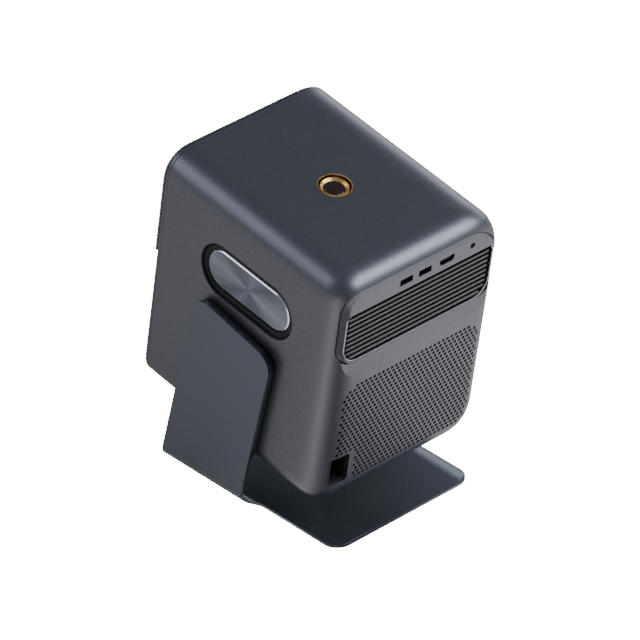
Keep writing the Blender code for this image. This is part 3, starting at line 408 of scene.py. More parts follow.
def rounded_rectangle(low_u, high_u, low_v, high_v, corners, exponent=2.0, steps=10):
    """Outline with a round of its own at each corner: high-high, low-high, low-low, high-low."""
    points = []
    ends = (
        (high_u, high_v, 1, 1), (low_u, high_v, -1, 1), (low_u, low_v, -1, -1), (high_u, low_v, 1, -1))
    for quarter, ((corner_u, corner_v, side_u, side_v), size) in enumerate(zip(ends, corners)):
        for step in range(steps + 1):
            share = step / steps if quarter % 2 == 0 else 1 - step / steps
            along_u = math.cos(share * math.pi / 2) ** (2 / exponent) if share < 1 else 0.0
            along_v = math.sin(share * math.pi / 2) ** (2 / exponent)
            u = corner_u - side_u * size * (1 - along_u)
            v = corner_v - side_v * size * (1 - along_v)
            points.append((u, v))
    return points


def between(low, high):
    """Outline of a cutter that takes everything between two heights."""
    return rounded_rectangle(-FAR, FAR, low, high, (1.0,) * 4, steps=1)


def centred(u, v, width, height, corner, steps=6):
    return rounded_rectangle(
        u - width / 2, u + width / 2, v - height / 2, v + height / 2, (corner,) * 4, steps=steps)


def stadium(u, v, length, height):
    return centred(u, v, length, height, height / 2, steps=20)


def circle(u, v, radius, steps=64):
    angles = [2 * math.pi * step / steps for step in range(steps)]
    return [(u + radius * math.cos(angle), v + radius * math.sin(angle)) for angle in angles]


def filleted(corners, steps=12):
    """Outline of straight runs whose corners are rounded: each corner is (u, v, radius)."""
    points = []
    for index, (u, v, radius) in enumerate(corners):
        here = Vector((u, v))
        before = (Vector(corners[index - 1][:2]) - here).normalized()
        after = (Vector(corners[(index + 1) % len(corners)][:2]) - here).normalized()
        half_angle = before.angle(after) / 2
        centre = here + (before + after).normalized() * radius / math.sin(half_angle)
        start = here + before * radius / math.tan(half_angle) - centre
        turn = (here + after * radius / math.tan(half_angle) - centre).angle_signed(start)
        for step in range(steps + 1):
            points.append(tuple(centre + Matrix.Rotation(turn * step / steps, 2) @ start))
    return points


def turned(name, axis, u, v, profile, steps):
    """Spins a closed profile of (radius, place along the axis) about a line."""
    mesh_data = bmesh.new()
    rows = []
    for radius, along in profile:
        if radius == 0:
            rows.append([mesh_data.verts.new(spread(axis, u, v, along))] * steps)
        else:
            ring = circle(u, v, radius, steps)
            rows.append([mesh_data.verts.new(spread(axis, *point, along)) for point in ring])
    join(mesh_data, rows, True)
    return solid(name, mesh_data)


# Materials

# The colour sockets of a Mix node, which share their names with its other sockets
COLOUR_A, COLOUR_B, COLOUR_OUT = 6, 7, 2


def srgb(text):
    """Linear colour of an sRGB hex value."""
    parts = [int(text[place:place + 2], 16) / 255 for place in (0, 2, 4)]
    linear = [part / 12.92 if part <= 0.04045 else ((part + 0.055) / 1.055) ** 2.4 for part in parts]
    return (*linear, 1.0)


def add(tree, kind, settings=None, inputs=None):
    """Adds a node with its settings, and with its input values and links."""
    made = tree.nodes.new(kind)
    for name, value in (settings or {}).items():
        setattr(made, name, value)
    for name, value in (inputs or {}).items():
        if isinstance(value, bpy.types.NodeSocket):
            tree.links.new(value, made.inputs[name])
        else:
            made.inputs[name].default_value = value
    return made


def start_material(name, **inputs):
    """Material with its Principled shader's fixed values set."""
    made = bpy.data.materials.new(name)
    made.use_nodes = True
    tree = made.node_tree
    shader = tree.nodes["Principled BSDF"]
    for key, value in inputs.items():
        shader.inputs[key.replace("_", " ")].default_value = value
    return made, tree, shader


def per_mm(size):
    """Texture scale, in cycles per metre, for a feature of this size in millimetres."""
    return 1.0 / (size * MM)


def noise(tree, size, detail, roughness=0.5):
    """Noise in the piece's own axes, with grains of this size in millimetres."""
    place = add(tree, "ShaderNodeTexCoord")
    made = add(tree, "ShaderNodeTexNoise", None, {
        "Vector": place.outputs["Object"], "Scale": per_mm(size), "Detail": detail,
        "Roughness": roughness})
    return made.outputs["Fac"]


def ramp(tree, value, stops, blend="LINEAR"):
    """Colours along a value, from stops of (place, colour)."""
    made = add(tree, "ShaderNodeValToRGB", None, {"Fac": value})
    made.color_ramp.interpolation = blend
    steps = made.color_ramp.elements
    for index, (place, colour) in enumerate((stops[0], stops[-1], *stops[1:-1])):
        step = steps[index] if index < 2 else steps.new(place)
        step.position = place
        step.color = colour
    return made.outputs["Color"]


def tint(tree, shader, value, dark, light, margin):
    """Base colour that goes from dark to light as the value rises, even within each margin."""
    colour = ramp(tree, value, [(margin, srgb(dark)), (1 - margin, srgb(light))])
    tree.links.new(colour, shader.inputs["Base Color"])


def lift(tree, shader, value, colour, gain):
    """Base colour that the value makes up to this many times lighter."""
    lighter = tuple(min(channel * gain, 1.0) for channel in srgb(colour))
    made = add(tree, "ShaderNodeMix", {"data_type": "RGBA", "blend_type": "MIX"}, {
        "Factor": value, COLOUR_A: srgb(colour), COLOUR_B: lighter})
    tree.links.new(made.outputs[COLOUR_OUT], shader.inputs["Base Color"])


def sheen(tree, shader, value, low, high):
    """Roughness that the value moves between two levels."""
    made = add(tree, "ShaderNodeMapRange", None, {"Value": value, "To Min": low, "To Max": high})
    tree.links.new(made.outputs["Result"], shader.inputs["Roughness"])


def relief(tree, shader, value, strength, height):
    """Bump that the value raises by this many millimetres."""
    made = add(tree, "ShaderNodeBump", None, {
        "Strength": strength, "Distance": height * MM, "Height": value})
    tree.links.new(made.outputs["Normal"], shader.inputs["Normal"])


def metallic_paint():
    """Slate metallic lacquer over moulded ABS: fine flakes under a satin clear coat, sprayed, so
    that it has a slight grain and no brush direction. The grain is drawn coarser than real."""
    made, tree, shader = start_material("metallic_lacquered_abs", Metallic=0.9)
    grain = noise(tree, 1.1, 3.0, 0.6)
    tint(tree, shader, grain, "5F626B", "6B6E78", 0.32)
    sheen(tree, shader, noise(tree, 38.0, 2.0), 0.36, 0.42)
    relief(tree, shader, grain, 0.12, 0.06)
    return made


def powder_coat():
    """Slate polyester powder coat on folded steel: even and satin, with a very fine orange peel."""
    made, tree, shader = start_material("powder_coated_steel", Metallic=0.95)
    peel = noise(tree, 0.9, 2.0)
    tint(tree, shader, peel, "5C636E", "656C79", 0.35)
    sheen(tree, shader, peel, 0.36, 0.44)
    relief(tree, shader, peel, 0.08, 0.05)
    return made


def moulded_plastic(name, dark, light, low, high, gleam=0.5):
    """Moulded surface with a fine matt texture that breaks up its highlights, as spark-eroded ABS
    has. Rubber shines less, and the paper cone and the solder mask are dull. The near-black mesh
    is painted shade behind the case's holes and louvre, standing for the dark inside; behind the
    front grille it is the grille's black cloth."""
    made, tree, shader = start_material(name, IOR=1.5, Specular_IOR_Level=gleam)
    grain = noise(tree, 0.7, 2.0)
    tint(tree, shader, grain, dark, light, 0.3)
    sheen(tree, shader, grain, low, high)
    relief(tree, shader, grain, 0.15, 0.05)
    return made


def spun_metal(name, reflection_rays, low, high, centre_axis):
    """Metal faced on a lathe. Its light and dark rays from the centre are a painted reflection: wedges
    of lighter and darker base colour by angle, with fine streaks, stand for the starburst that the
    fine turning marks throw. The marks themselves, drawn coarser than real, vary only the roughness."""
    made, tree, shader = start_material(name, Metallic=1.0)
    place = add(tree, "ShaderNodeTexCoord")
    turn = {"X": (0.0, math.pi / 2, 0.0), "Z": (0.0, 0.0, 0.0)}[centre_axis]
    facing = add(tree, "ShaderNodeMapping", None, {
        "Vector": place.outputs["Object"], "Rotation": turn}).outputs["Vector"]
    around = add(tree, "ShaderNodeTexGradient", {"gradient_type": "RADIAL"}, {"Vector": facing})
    angle = around.outputs["Fac"]
    # Painted reflection: lighter and darker wedges of base colour by angle round the centre
    painted_ray_colours = ramp(tree, angle, [(position, srgb(colour)) for position, colour in reflection_rays])
    fine = add(tree, "ShaderNodeTexNoise", {"noise_dimensions": "1D"}, {
        "W": angle, "Scale": 70.0, "Detail": 3.0})
    painted_streak = add(tree, "ShaderNodeMapRange", None, {
        "Value": fine.outputs["Fac"], "To Min": 0.82, "To Max": 1.15})
    shade = add(tree, "ShaderNodeMix", {"data_type": "RGBA", "blend_type": "MULTIPLY"}, {
        "Factor": 1.0, COLOUR_A: painted_ray_colours, COLOUR_B: painted_streak.outputs["Result"]})
    tree.links.new(shade.outputs[COLOUR_OUT], shader.inputs["Base Color"])
    groove, wave_rate = 0.45, 6.3
    grooves = add(tree, "ShaderNodeTexWave", {"wave_type": "RINGS", "rings_direction": "Z"}, {
        "Vector": facing, "Scale": per_mm(groove) / wave_rate, "Distortion": 0.0})
    sheen(tree, shader, grooves.outputs["Fac"], low, high)
    return made


def plain_metal(name, colour, low, high, mark_size):
    """Plated or machined metal: nearly even, with faint handling marks in its gloss."""
    made, tree, shader = start_material(name, Metallic=1.0)
    marks = noise(tree, mark_size, 4.0)
    lift(tree, shader, marks, colour, 1.15)
    sheen(tree, shader, marks, low, high)
    return made


def gloss(name, colour, low, high, **inputs):
    """Polished acrylic or glass: deep and dark, with faint polishing haze in its gloss."""
    made, tree, shader = start_material(name, **inputs)
    haze = noise(tree, 14.0, 3.0)
    lift(tree, shader, haze, colour, 1.3)
    sheen(tree, shader, haze, low, high)
    return made


paint = metallic_paint()
coat = powder_coat()
black_abs = moulded_plastic("moulded_black_abs", "17181A", "222326", 0.42, 0.55)
louvre_abs = moulded_plastic("painted_louvre_abs", "3C3E43", "484A50", 0.30, 0.40)
grey_abs = moulded_plastic("moulded_grey_abs", "6A6C6E", "777A7C", 0.5, 0.6)
rubber = moulded_plastic("moulded_silicone_rubber", "050506", "09090A", 0.42, 0.55, 0.3)
# Near-black and hardly shining: painted shade behind the case's holes and louvre, and the real black cloth behind
# the front grille
black_cloth_and_shade = moulded_plastic("black_cloth_and_painted_shade", "030303", "060606", 0.8, 0.9, 0.08)
cone = moulded_plastic("pressed_paper_cone", "1E1E20", "2A2A2D", 0.75, 0.85)
board = moulded_plastic("solder_masked_fibreglass", "1F4A33", "2A5A40", 0.4, 0.5)
# Painted reflection of the plate's starburst: light and dark base colours by angle round its centre
plate_reflection_rays = [
    (0.0, "6A7080"), (0.09, "7C8393"), (0.17, "646A79"), (0.27, "8C93A2"), (0.34, "686E7D"),
    (0.46, "70778A"), (0.56, "828A9C"), (0.66, "636978"), (0.78, "949BAA"), (0.86, "6B7180"),
    (1.0, "6A7080")]
spun = spun_metal("spun_aluminium", plate_reflection_rays, 0.30, 0.42, "X")
# Painted reflection of the button's starburst: light and dark gold by angle round its centre
gold_reflection_rays = [
    (0.0, "C99A4C"), (0.12, "F0CE8A"), (0.22, "B4883F"), (0.36, "E3BC72"), (0.5, "A67B36"),
    (0.62, "F4D594"), (0.74, "BE9148"), (0.88, "E8C47C"), (1.0, "C99A4C")]
gold = spun_metal("gold_anodised_aluminium", gold_reflection_rays, 0.22, 0.34, "Z")
bright = plain_metal("polished_aluminium_edge", "D5D8DC", 0.14, 0.24, 3.0)
nickel = plain_metal("nickel_plated_steel", "9C9EA2", 0.22, 0.36, 2.0)
# Nickel plating darkened as painted shade, so that the socket cavities read dark
shade_dark_nickel = plain_metal("nickel_darkened_as_painted_shade", "2C2D30", 0.25, 0.4, 2.0)
acrylic = gloss("smoked_black_acrylic", "0A0908", 0.05, 0.10, IOR=1.49)
brown_acrylic = gloss("smoked_brown_acrylic", "1C130C", 0.06, 0.12, IOR=1.49)
lens_glass = gloss("coated_optical_glass", "3A3F55", 0.03, 0.06, IOR=1.6, Coat_Weight=1.0)


# Case

def case_outline(inset=0.0):
    """Outline of the case seen from behind, or of what lies this far inside it."""
    sizes = (near_corner, far_top_corner, far_bottom_corner, near_corner)
    corners = [max(size - inset, GAP * 2) for size in sizes]
    return rounded_rectangle(
        inset - half_width, half_width - inset, inset, case_height - inset, corners, edge_exponent,
        corner_steps)


def case_ring(inset, back):
    return [spread("Y", u, v, -back) for u, v in case_outline(inset)]


def rolled_rings(skin):
    """Rings of the rear edge, for the skin that lies this deep under the outer one."""
    size = rear_roll - skin
    rings = []
    for step in range(roll_steps + 1):
        angle = math.pi / 2 * step / roll_steps
        across = math.cos(angle) ** (2 / edge_exponent) if step < roll_steps else 0.0
        along = math.sin(angle) ** (2 / edge_exponent)
        rings.append(case_ring(skin + size * (1 - across), skin + size * (1 - along)))
    return rings


def insert_outline(grow, top_grow=None, foot_grow=None, round_grow=None):
    """Outline of the sunk insert, grown at its sides, top, foot and corners."""
    top = grow if top_grow is None else top_grow
    foot = grow if foot_grow is None else foot_grow
    wider = grow if round_grow is None else round_grow
    near = insert_corner + wider
    return rounded_rectangle(
        -insert_half_width - grow, insert_half_width + grow, insert_foot - foot, insert_top + top,
        (near, insert_far_corner + wider, near, near), steps=16)


def window_outline(grow):
    """Outline of the louvre's window, grown all round."""
    top = window_top_corner + grow
    foot = window_foot_corner + grow
    return rounded_rectangle(
        -window_half_width - grow, window_half_width + grow, window_foot - grow, window_top + grow,
        (top, top, foot, foot), steps=14)


def inlet_outline(shrink=0.0):
    width, height = inlet_size
    return centred(*inlet_centre, width - 2 * shrink, height - 2 * shrink, inlet_corner - shrink)


def hole_places():
    """Centres of the perforated field's holes: its corners are cut back and the inlet is kept clear."""
    left = inlet_centre[0] - inlet_size[0] / 2 - inlet_clear_side
    top = inlet_centre[1] + inlet_size[1] / 2 + inlet_clear_top
    for row in range(hole_rows):
        height = top_row_height - row * row_pitch
        count = hole_columns - (row + 1) % 2
        near_trim = top_trims.get(row, 0)
        far_trim = near_trim + foot_trims.get(row, 0)
        for column in range(near_trim, count - far_trim):
            across = hole_pitch * ((count - 1) / 2 - column)
            if across > left and height < top:
                continue
            yield across, height


def hole_tool():
    """All the holes' cutters as one mesh."""
    mesh_data = bmesh.new()
    for across, height in hole_places():
        outline = circle(across, height, hole_radius, hole_sides)
        loft([[spread("Y", u, v, y) for u, v in outline] for y in (-rear_roll / 2, THROUGH)], mesh_data)
    return solid("holes", mesh_data)


def add_case_shell():
    """The case's skin with its sunk bay, its openings and the perforated field, whose wall is thin.
    The bay's sides and foot slope out to the surface, and its top leans in a little. The bay and
    the holes are cut last, so that their edges stay crisp."""
    mouth = case_depth - frame_depth - GAP
    outer = [case_ring(0.0, mouth)] + rolled_rings(0.0)
    inner = [case_ring(case_wall, mouth)] + rolled_rings(case_wall)
    shell = solid("case_shell", loft(inner[::-1] + outer))
    skin_thing = solid("skin", loft(outer))
    skin = skin_thing.data
    reach = 1 + THROUGH / insert_sink
    rings = []
    for place in (0.0, reach):
        outline = insert_outline(
            seam_width + slope_reach * place, seam_width * (1 - 2 * place),
            foot_seam + slope_reach * place, seam_width + slope_reach * place / 2)
        rings.append([spread("Y", u, v, insert_sink * (place - 1)) for u, v in outline])
    slope = solid("slope", loft(rings))
    bay = swept("bay", insert_outline(seam_width, None, foot_seam), -rear_roll, THROUGH)
    socket = swept("socket", inlet_outline(), -rear_roll, THROUGH)
    side = stadium(*radiator_centre, *radiator_size)
    opening = swept("opening", side, half_width - case_wall - THROUGH, half_width + THROUGH, "X")
    well = circle(*button_centre, ring_radius + GAP / 2)
    button = swept("well", well, case_height - case_wall - THROUGH, case_height + THROUGH, "Z")
    thin = rounded_rectangle(
        -field_half_width, field_half_width, field_foot, field_head, (field_corner,) * 4)
    recess = swept("recess", thin, -rear_roll / 2, THROUGH)
    core = solid("core", loft([case_ring(field_wall, rear_roll * 2)] + rolled_rings(field_wall)))
    combine(recess, (core,), "INTERSECT")
    cut(shell, slope, socket, opening, button, recess)
    soften(shell, 0.3, 2, 24.0)
    cut(shell, bay, hole_tool())
    settle(shell, paint, replaces=("main_shell", "rear_grille"), skin=skin, sharp=30.0)
    bpy.data.objects.remove(skin_thing, do_unlink=True)

    # A near-black sheet behind the holes: painted shade that stands for the dark inside the case
    screen = [(u * screen_fit, v) for u, v in thin]
    shade_screen = swept("painted_shade_screen", screen, -case_wall, -case_wall + GAP)
    cut(shade_screen, swept("screen_cut", inlet_outline(-GAP), -rear_roll, THROUGH))
    settle(shade_screen, black_cloth_and_shade)


def skin_depth():
    """Function that gives the place of the case's rear skin behind a point of an outline."""
    tree = BVHTree.FromBMesh(loft([case_ring(0.0, case_depth)] + rolled_rings(0.0)))

    def depth(u, v):
        point = tree.ray_cast(Vector((u, case_depth, v)), Vector((0.0, -1.0, 0.0)))[0]
        return point.y if point else -rear_roll

    return depth


def add_rear_insert():
    """Sunk insert with a chamfered band round its top and sides, socket holes and the window, and
    the black strip in the seam round it, which is painted shade: it draws the seam's dark shadow line."""
    depth = skin_depth()
    lowest = insert_outline(-seam_width, None, -foot_seam)
    drops = [max(band_drop, -insert_sink - depth(u, v) + GAP) for u, v in lowest]
    rings = [[spread("Y", u, v, -insert_sink - insert_depth) for u, v in lowest]]
    for step in range(band_steps + 1):
        share = step / band_steps
        outline = insert_outline(-seam_width - band_width * share, None, -foot_seam)
        fall = (1 - share) ** band_curve
        rings.append([
            spread("Y", u, v, -insert_sink - drop * fall) for (u, v), drop in zip(outline, drops)])
    insert = solid("rear_insert_face", loft(rings))
    hollow = insert_outline(-insert_wall, None, -insert_foot_wall)
    back = -insert_sink - insert_depth - THROUGH
    tools = [swept("hollow", hollow, back, -insert_sink - band_drop - insert_face)]
    tools.append(swept("window", window_outline(0.2), back, THROUGH))
    for centre in usb_centres:
        tools.append(swept("usb", usb_outline(centre, 0.0), back, THROUGH))
    tools.append(swept("hdmi", hdmi_outline(0.0), back, THROUGH))
    tools.append(swept("jack", circle(jack_centre, jack_height, jack_radius, 32), back, THROUGH))
    cut(insert, *tools)
    soften(insert, 0.15, 2, 40.0)
    settle(insert, paint, replaces=("rear_insert",), sharp=14.0)
    # Black rubber strip sunk in the seam: painted shade that draws the seam's shadow line
    outer = insert_outline(seam_width - GAP / 6, None, -foot_seam)
    inner = insert_outline(-seam_width - GAP / 6, None, -foot_seam)
    rings = []
    surface = [min(depth(u, v), -insert_sink) for u, v in outer]
    section = ((outer, insert_depth), (outer, GAP / 2), (inner, GAP / 2), (inner, insert_depth))
    for outline, sink in section:
        rings.append([spread("Y", u, v, y - sink) for (u, v), y in zip(outline, surface)])
    seam_shade = solid("insert_seam_shade", hoop(rings))
    foot = between(0.0, insert_foot + insert_corner / 2)
    cut(seam_shade, swept("foot", foot, -rear_roll * 2, THROUGH))
    settle(seam_shade, rubber)


def window_reach(height):
    """Half the width of the louvre window at a height, with its rounded lower corners."""
    rise = height - window_foot
    if rise >= window_foot_corner:
        return window_half_width
    drop = window_foot_corner - max(rise, 0.0)
    return window_half_width - window_foot_corner + math.sqrt(window_foot_corner**2 - drop**2)


def add_louvre():
    """Round-nosed slats whose ends curve back, behind a thin polished lip at the sides and foot."""
    front = -insert_sink
    top = window_top - slat_top_gap
    pitch = (top - window_foot - slat_foot_gap) / (slat_count - 1)
    slats = bmesh.new()
    lean = Matrix.Rotation(-slat_tilt, 4, "X")
    nose = [math.pi * step / slat_steps - math.pi / 2 for step in range(slat_steps + 1)]
    curl = [math.pi / 2 * step / slat_steps for step in range(slat_steps + 1)]
    for index in range(slat_count):
        height = top - pitch * index
        half = window_reach(height) - slat_end_gap
        ends = [
            (half - slat_nose * (1 - math.sin(turn)), slat_nose * (1 - math.cos(turn))) for turn in curl]
        rings = []
        for across, back in [(-across, back) for across, back in reversed(ends)] + ends:
            ring = [
                (slat_thickness / 2 * (math.cos(angle) - 1) - back, slat_thickness / 2 * math.sin(angle))
                for angle in nose]
            ring += [(-slat_depth - back, side * slat_thickness / 2) for side in (1, -1)]
            place = Vector((0, front - slat_set_back, height))
            rings.append([lean @ Vector((across, v, w)) + place for v, w in ring])
        loft(rings, slats)
    made = solid("louver_slats", slats)
    settle(made, louvre_abs, replaces=("louver_grille",), sharp=40.0)

    levels = [
        (0.0, front - rim_depth), (0.0, front - 0.1), (-0.15, front + 0.15), (-0.4, front + 0.25),
        (-0.65, front + 0.1), (-0.75, front - 0.3), (-0.75, front - rim_depth)]
    rings = [[spread("Y", u, v, y) for u, v in window_outline(grow + 0.1)] for grow, y in levels]
    rim = solid("louver_lip", hoop(rings))
    head = between(window_top - lip_stop, FAR * 2)
    cut(rim, swept("head", head, front - rim_depth - THROUGH, front + THROUGH))
    settle(rim, bright, sharp=40.0)
    # A near-black sheet behind the slats: painted shade that stands for the dark behind the window
    half = window_half_width - screen_inset
    back = rounded_rectangle(
        -half, half, window_foot + screen_inset, window_top - screen_inset,
        (window_top_corner, window_top_corner, screen_foot_corner, screen_foot_corner))
    screen = swept("louver_shade_screen", back, *(front - place for place in screen_places))
    settle(screen, black_cloth_and_shade)


# Sockets

def hdmi_outline(shrink):
    """Outline of the HDMI socket, whose lower corners are cut off."""
    width, height = hdmi_size
    low = socket_height - height / 2 + shrink
    high = socket_height + height / 2 - shrink
    left = hdmi_centre - width / 2 + shrink
    right = hdmi_centre + width / 2 - shrink
    corners = [
        (right, high), (left, high), (left, low + hdmi_chamfer), (left + hdmi_chamfer, low),
        (right - hdmi_chamfer, low), (right, low + hdmi_chamfer)]
    return filleted([(*corner, socket_corner) for corner in corners], 3)


def usb_outline(centre, shrink, corner=socket_corner):
    """Outline of a USB socket, this far inside its full size."""
    width, height = usb_size
    return centred(centre, socket_height, width - 2 * shrink, height - 2 * shrink, corner)


def add_socket(kind, letter, outline, mouth, tongue, tongue_sink, filling, node):
    """Plated shell with the tongue in it."""
    body = swept(f"{kind}_shell{letter}", outline, socket_back, socket_front)
    cut(body, swept("mouth", mouth, socket_back + socket_floor, socket_front + THROUGH))
    # The shell's darkened nickel is painted shade of the socket's cavity
    settle(body, shade_dark_nickel, replaces=(node,))
    made = swept(f"{kind}_tongue{letter}", tongue, socket_back + tongue_root, socket_front - tongue_sink)
    settle(soften(made, 0.15), filling)


def add_sockets():
    """USB and HDMI sockets, the jack, and the two-pin inlet."""
    for letter, centre in zip("ab", usb_centres):
        height = socket_height + usb_tongue_raise
        tongue = centred(centre, height, usb_size[0] - 2.8, usb_tongue_height, tongue_corner)
        add_socket(
            "usb", f"_{letter}", usb_outline(centre, 0.1), usb_outline(centre, 0.6, 0.4), tongue,
            usb_tongue_sink, grey_abs, f"usb_port_{letter}")
    tongue = centred(hdmi_centre, socket_height, hdmi_size[0] - 4.0, hdmi_tongue_height, tongue_corner)
    add_socket(
        "hdmi", "", hdmi_outline(0.1), hdmi_outline(0.6), tongue, hdmi_tongue_sink, black_abs,
        "hdmi_port")
    sleeve = jack_radius - 0.1
    profile = [
        (jack_bore, socket_back), (sleeve, socket_back), (sleeve, socket_front - 0.2),
        (sleeve - 0.2, socket_front), (jack_bore, socket_front - 0.3)]
    jack = turned("jack_sleeve", "Y", jack_centre, jack_height, profile, 32)
    settle(jack, black_abs, replaces=("audio_jack",))

    rim = -inlet_sink
    body = swept("inlet_body", inlet_outline(0.1), rim - inlet_length, rim)
    cut(body, swept("mouth", inlet_outline(inlet_wall), rim - inlet_floor, rim + THROUGH))
    soften(body, 0.3)
    settle(body, black_abs, replaces=("inlet_socket",))
    root = rim - inlet_floor - 0.5
    tip = rim - pin_sink
    pin = [
        (0.0, root), (pin_radius, root), (pin_radius, tip - 0.8), (pin_radius - 0.4, tip - 0.2),
        (0.0, tip)]
    for side, word in ((-1, "lower"), (1, "upper")):
        height = inlet_centre[1] + side * pin_offset
        made = turned(f"inlet_pin_{word}", "Y", inlet_centre[0], height, pin, 24)
        settle(made, nickel)


# Side radiator and top button

def pill_ring(size, inset, along):
    """Stadium ring about the radiator's centre, this far inside its full size."""
    outline = stadium(*radiator_centre, size[0] - 2 * inset, size[1] - 2 * inset)
    return [spread("X", u, v, along) for u, v in outline]


def add_radiator():
    """Rubber roll between the case's stadium cut-out and a spun plate with a polished chamfer."""
    skin = half_width - roll_sink
    bed = skin - roll_bed
    foot = skin - roll_foot
    bead = (radiator_size[0] - plate_size[0]) / 2 - 2 * GAP - 2 * roll_hem
    profile = [(0.0, foot), (0.0, bed), (roll_hem, bed)]
    for step in range(1, bead_steps):
        angle = math.pi * step / bead_steps
        profile.append((roll_hem + bead * (1 - math.cos(angle)) / 2, bed + roll_rise * math.sin(angle)))
    full = bead + 2 * roll_hem
    profile += [(full - roll_hem, bed), (full, bed), (full, foot)]
    rings = [pill_ring(radiator_size, GAP + inset, along) for inset, along in profile]
    surround = solid("radiator_roll", hoop(rings))
    settle(surround, rubber, replaces=("radiator_surround",))
    face = half_width - plate_sink
    edge = [
        (0.0, face - plate_depth), (0.0, face - 0.75), (0.15, face - 0.55), (0.85, face - 0.1),
        (plate_chamfer, face), (plate_chamfer, face - plate_depth)]
    rings = [pill_ring(plate_size, inset, along) for inset, along in edge]
    settle(solid("radiator_edge", hoop(rings)), bright, "radiator", sharp=20.0)
    top = [pill_ring(plate_size, plate_chamfer, along) for along in (face - plate_depth, face)]
    plate = solid("radiator_face", loft(top))
    centre = (face, *radiator_centre)
    settle(plate, spun, "radiator", origin=centre, replaces=("radiator_plate",))


def add_button():
    """Gold ring with a round lip, and a dished gold button round a smoked lens."""
    top = case_height + ring_lip
    centre = (*button_centre, case_height)
    bore = ring_radius - ring_wall
    flange = ring_radius + ring_flange
    shoulder = top - ring_flange_drop
    ring = [
        (bore, top - ring_depth), (flange, top - ring_depth), (flange, shoulder),
        (ring_radius, shoulder), (ring_radius, top - 0.5), (ring_radius - 0.15, top - 0.15),
        (ring_radius - 0.5, top), (bore + 0.4, top), (bore + 0.1, top - 0.15), (bore, top - 0.5)]
    made = turned("button_bezel", "Z", *button_centre, ring, 96)
    settle(made, gold, origin=centre, replaces=("button_ring",))
    radius = bore - cap_clearance
    rim = case_height - cap_sink
    skirt = rim - cap_skirt
    dish = rim - dish_depth
    cap = [
        (0.0, rim - cap_depth), (stem_radius, rim - cap_depth), (stem_radius, skirt), (radius, skirt),
        (radius, rim - 0.5), (radius - 0.15, rim - 0.12), (radius - 0.4, rim), (radius - 0.8, rim - 0.1),
        (lens_radius + 0.25, dish + 0.2), (lens_radius + 0.05, dish), (0.0, dish)]
    made = turned("button_cap", "Z", *button_centre, cap, 96)
    settle(made, gold, "button", origin=centre, replaces=("power_button",))
    lens = [
        (0.0, dish), (lens_radius, dish), (lens_radius, dish + 0.3), (lens_radius - 0.25, dish + 0.5),
        (4.0, dish + 0.65), (0.0, dish + 0.7)]
    made = turned("button_window", "Z", *button_centre, lens, 96)
    settle(made, brown_acrylic, "button", origin=centre, replaces=("button_lens",))


# Front

def upper_outline(border, corner):
    """Outline of the front's upper field, this far inside the case's edge."""
    return rounded_rectangle(
        border - half_width, half_width - border, panel_foot + border, case_height - border,
        (near_corner - border, far_top_corner - border, corner, corner), edge_exponent, 14)


def lower_outline(gap=0.0):
    """Outline of the speaker grille's opening, or of what fits in it with a gap."""
    border = frame_border + gap
    corner = frame_corner - gap
    return rounded_rectangle(
        border - half_width, half_width - border, border, panel_foot - bar_width - gap,
        (corner, corner, far_bottom_corner - border, near_corner - border), 2.0, 14)


def add_front():
    """Frame, raised upper panel with its window, and the slotted speaker grille."""
    frame_back = case_depth - frame_depth
    reach = (-case_depth - THROUGH, -frame_back + THROUGH)
    bezel = swept("front_bezel", case_outline(), -case_depth, -frame_back)
    upper = swept("upper", upper_outline(frame_border, frame_corner), *reach)
    cut(bezel, upper, swept("lower", lower_outline(), *reach))
    settle(soften(bezel, 0.5), paint, replaces=("front_frame",))

    back = case_depth + GAP
    front = back + panel_thickness
    panel = swept("front_fascia", case_outline(), -front, -back)
    glass = upper_outline(glass_border, glass_corner)
    cut(panel, swept("chop", between(-FAR, panel_foot), -front - THROUGH, -back + THROUGH),
        swept("bed", glass, -front - THROUGH, -front + glass_bed))
    settle(soften(panel, 0.4), paint, replaces=("front_panel",))
    pane = swept(
        "front_window", [(u * glass_fit, v) for u, v in glass], -front, -front + glass_thickness)
    settle(soften(pane, 0.3), acrylic, replaces=("front_glass",))

    plate = lower_outline(GAP)
    grille = swept("speaker_grille", plate, -case_depth, -frame_back)
    slots = []
    for row in range(slot_rows):
        height = far_bottom_corner / 2 + slot_pitch * (row + 1)
        for side in (-1, 1):
            slot = centred(side * slot_offset, height, *slot_size, slot_corner, 5)
            slots.append(swept("slot", slot, *reach))
    cut(grille, *slots)
    settle(soften(grille, 0.35), black_abs, replaces=("front_grille",))
    behind = [place - frame_back for place in cloth_places]
    cloth = swept("grille_cloth", [(u * cloth_fit, v) for u, v in plate], *behind)
    settle(cloth, black_cloth_and_shade)


# Stand

def leaning(along, aside):
    """A point of the arm's own axes, from the hinge: along the arm, and aside to the rear."""
    y = along * math.sin(arm_lean) + aside * math.cos(arm_lean) - arm_ahead
    z = along * math.cos(arm_lean) - aside * math.sin(arm_lean) + pivot.z
    return y, z


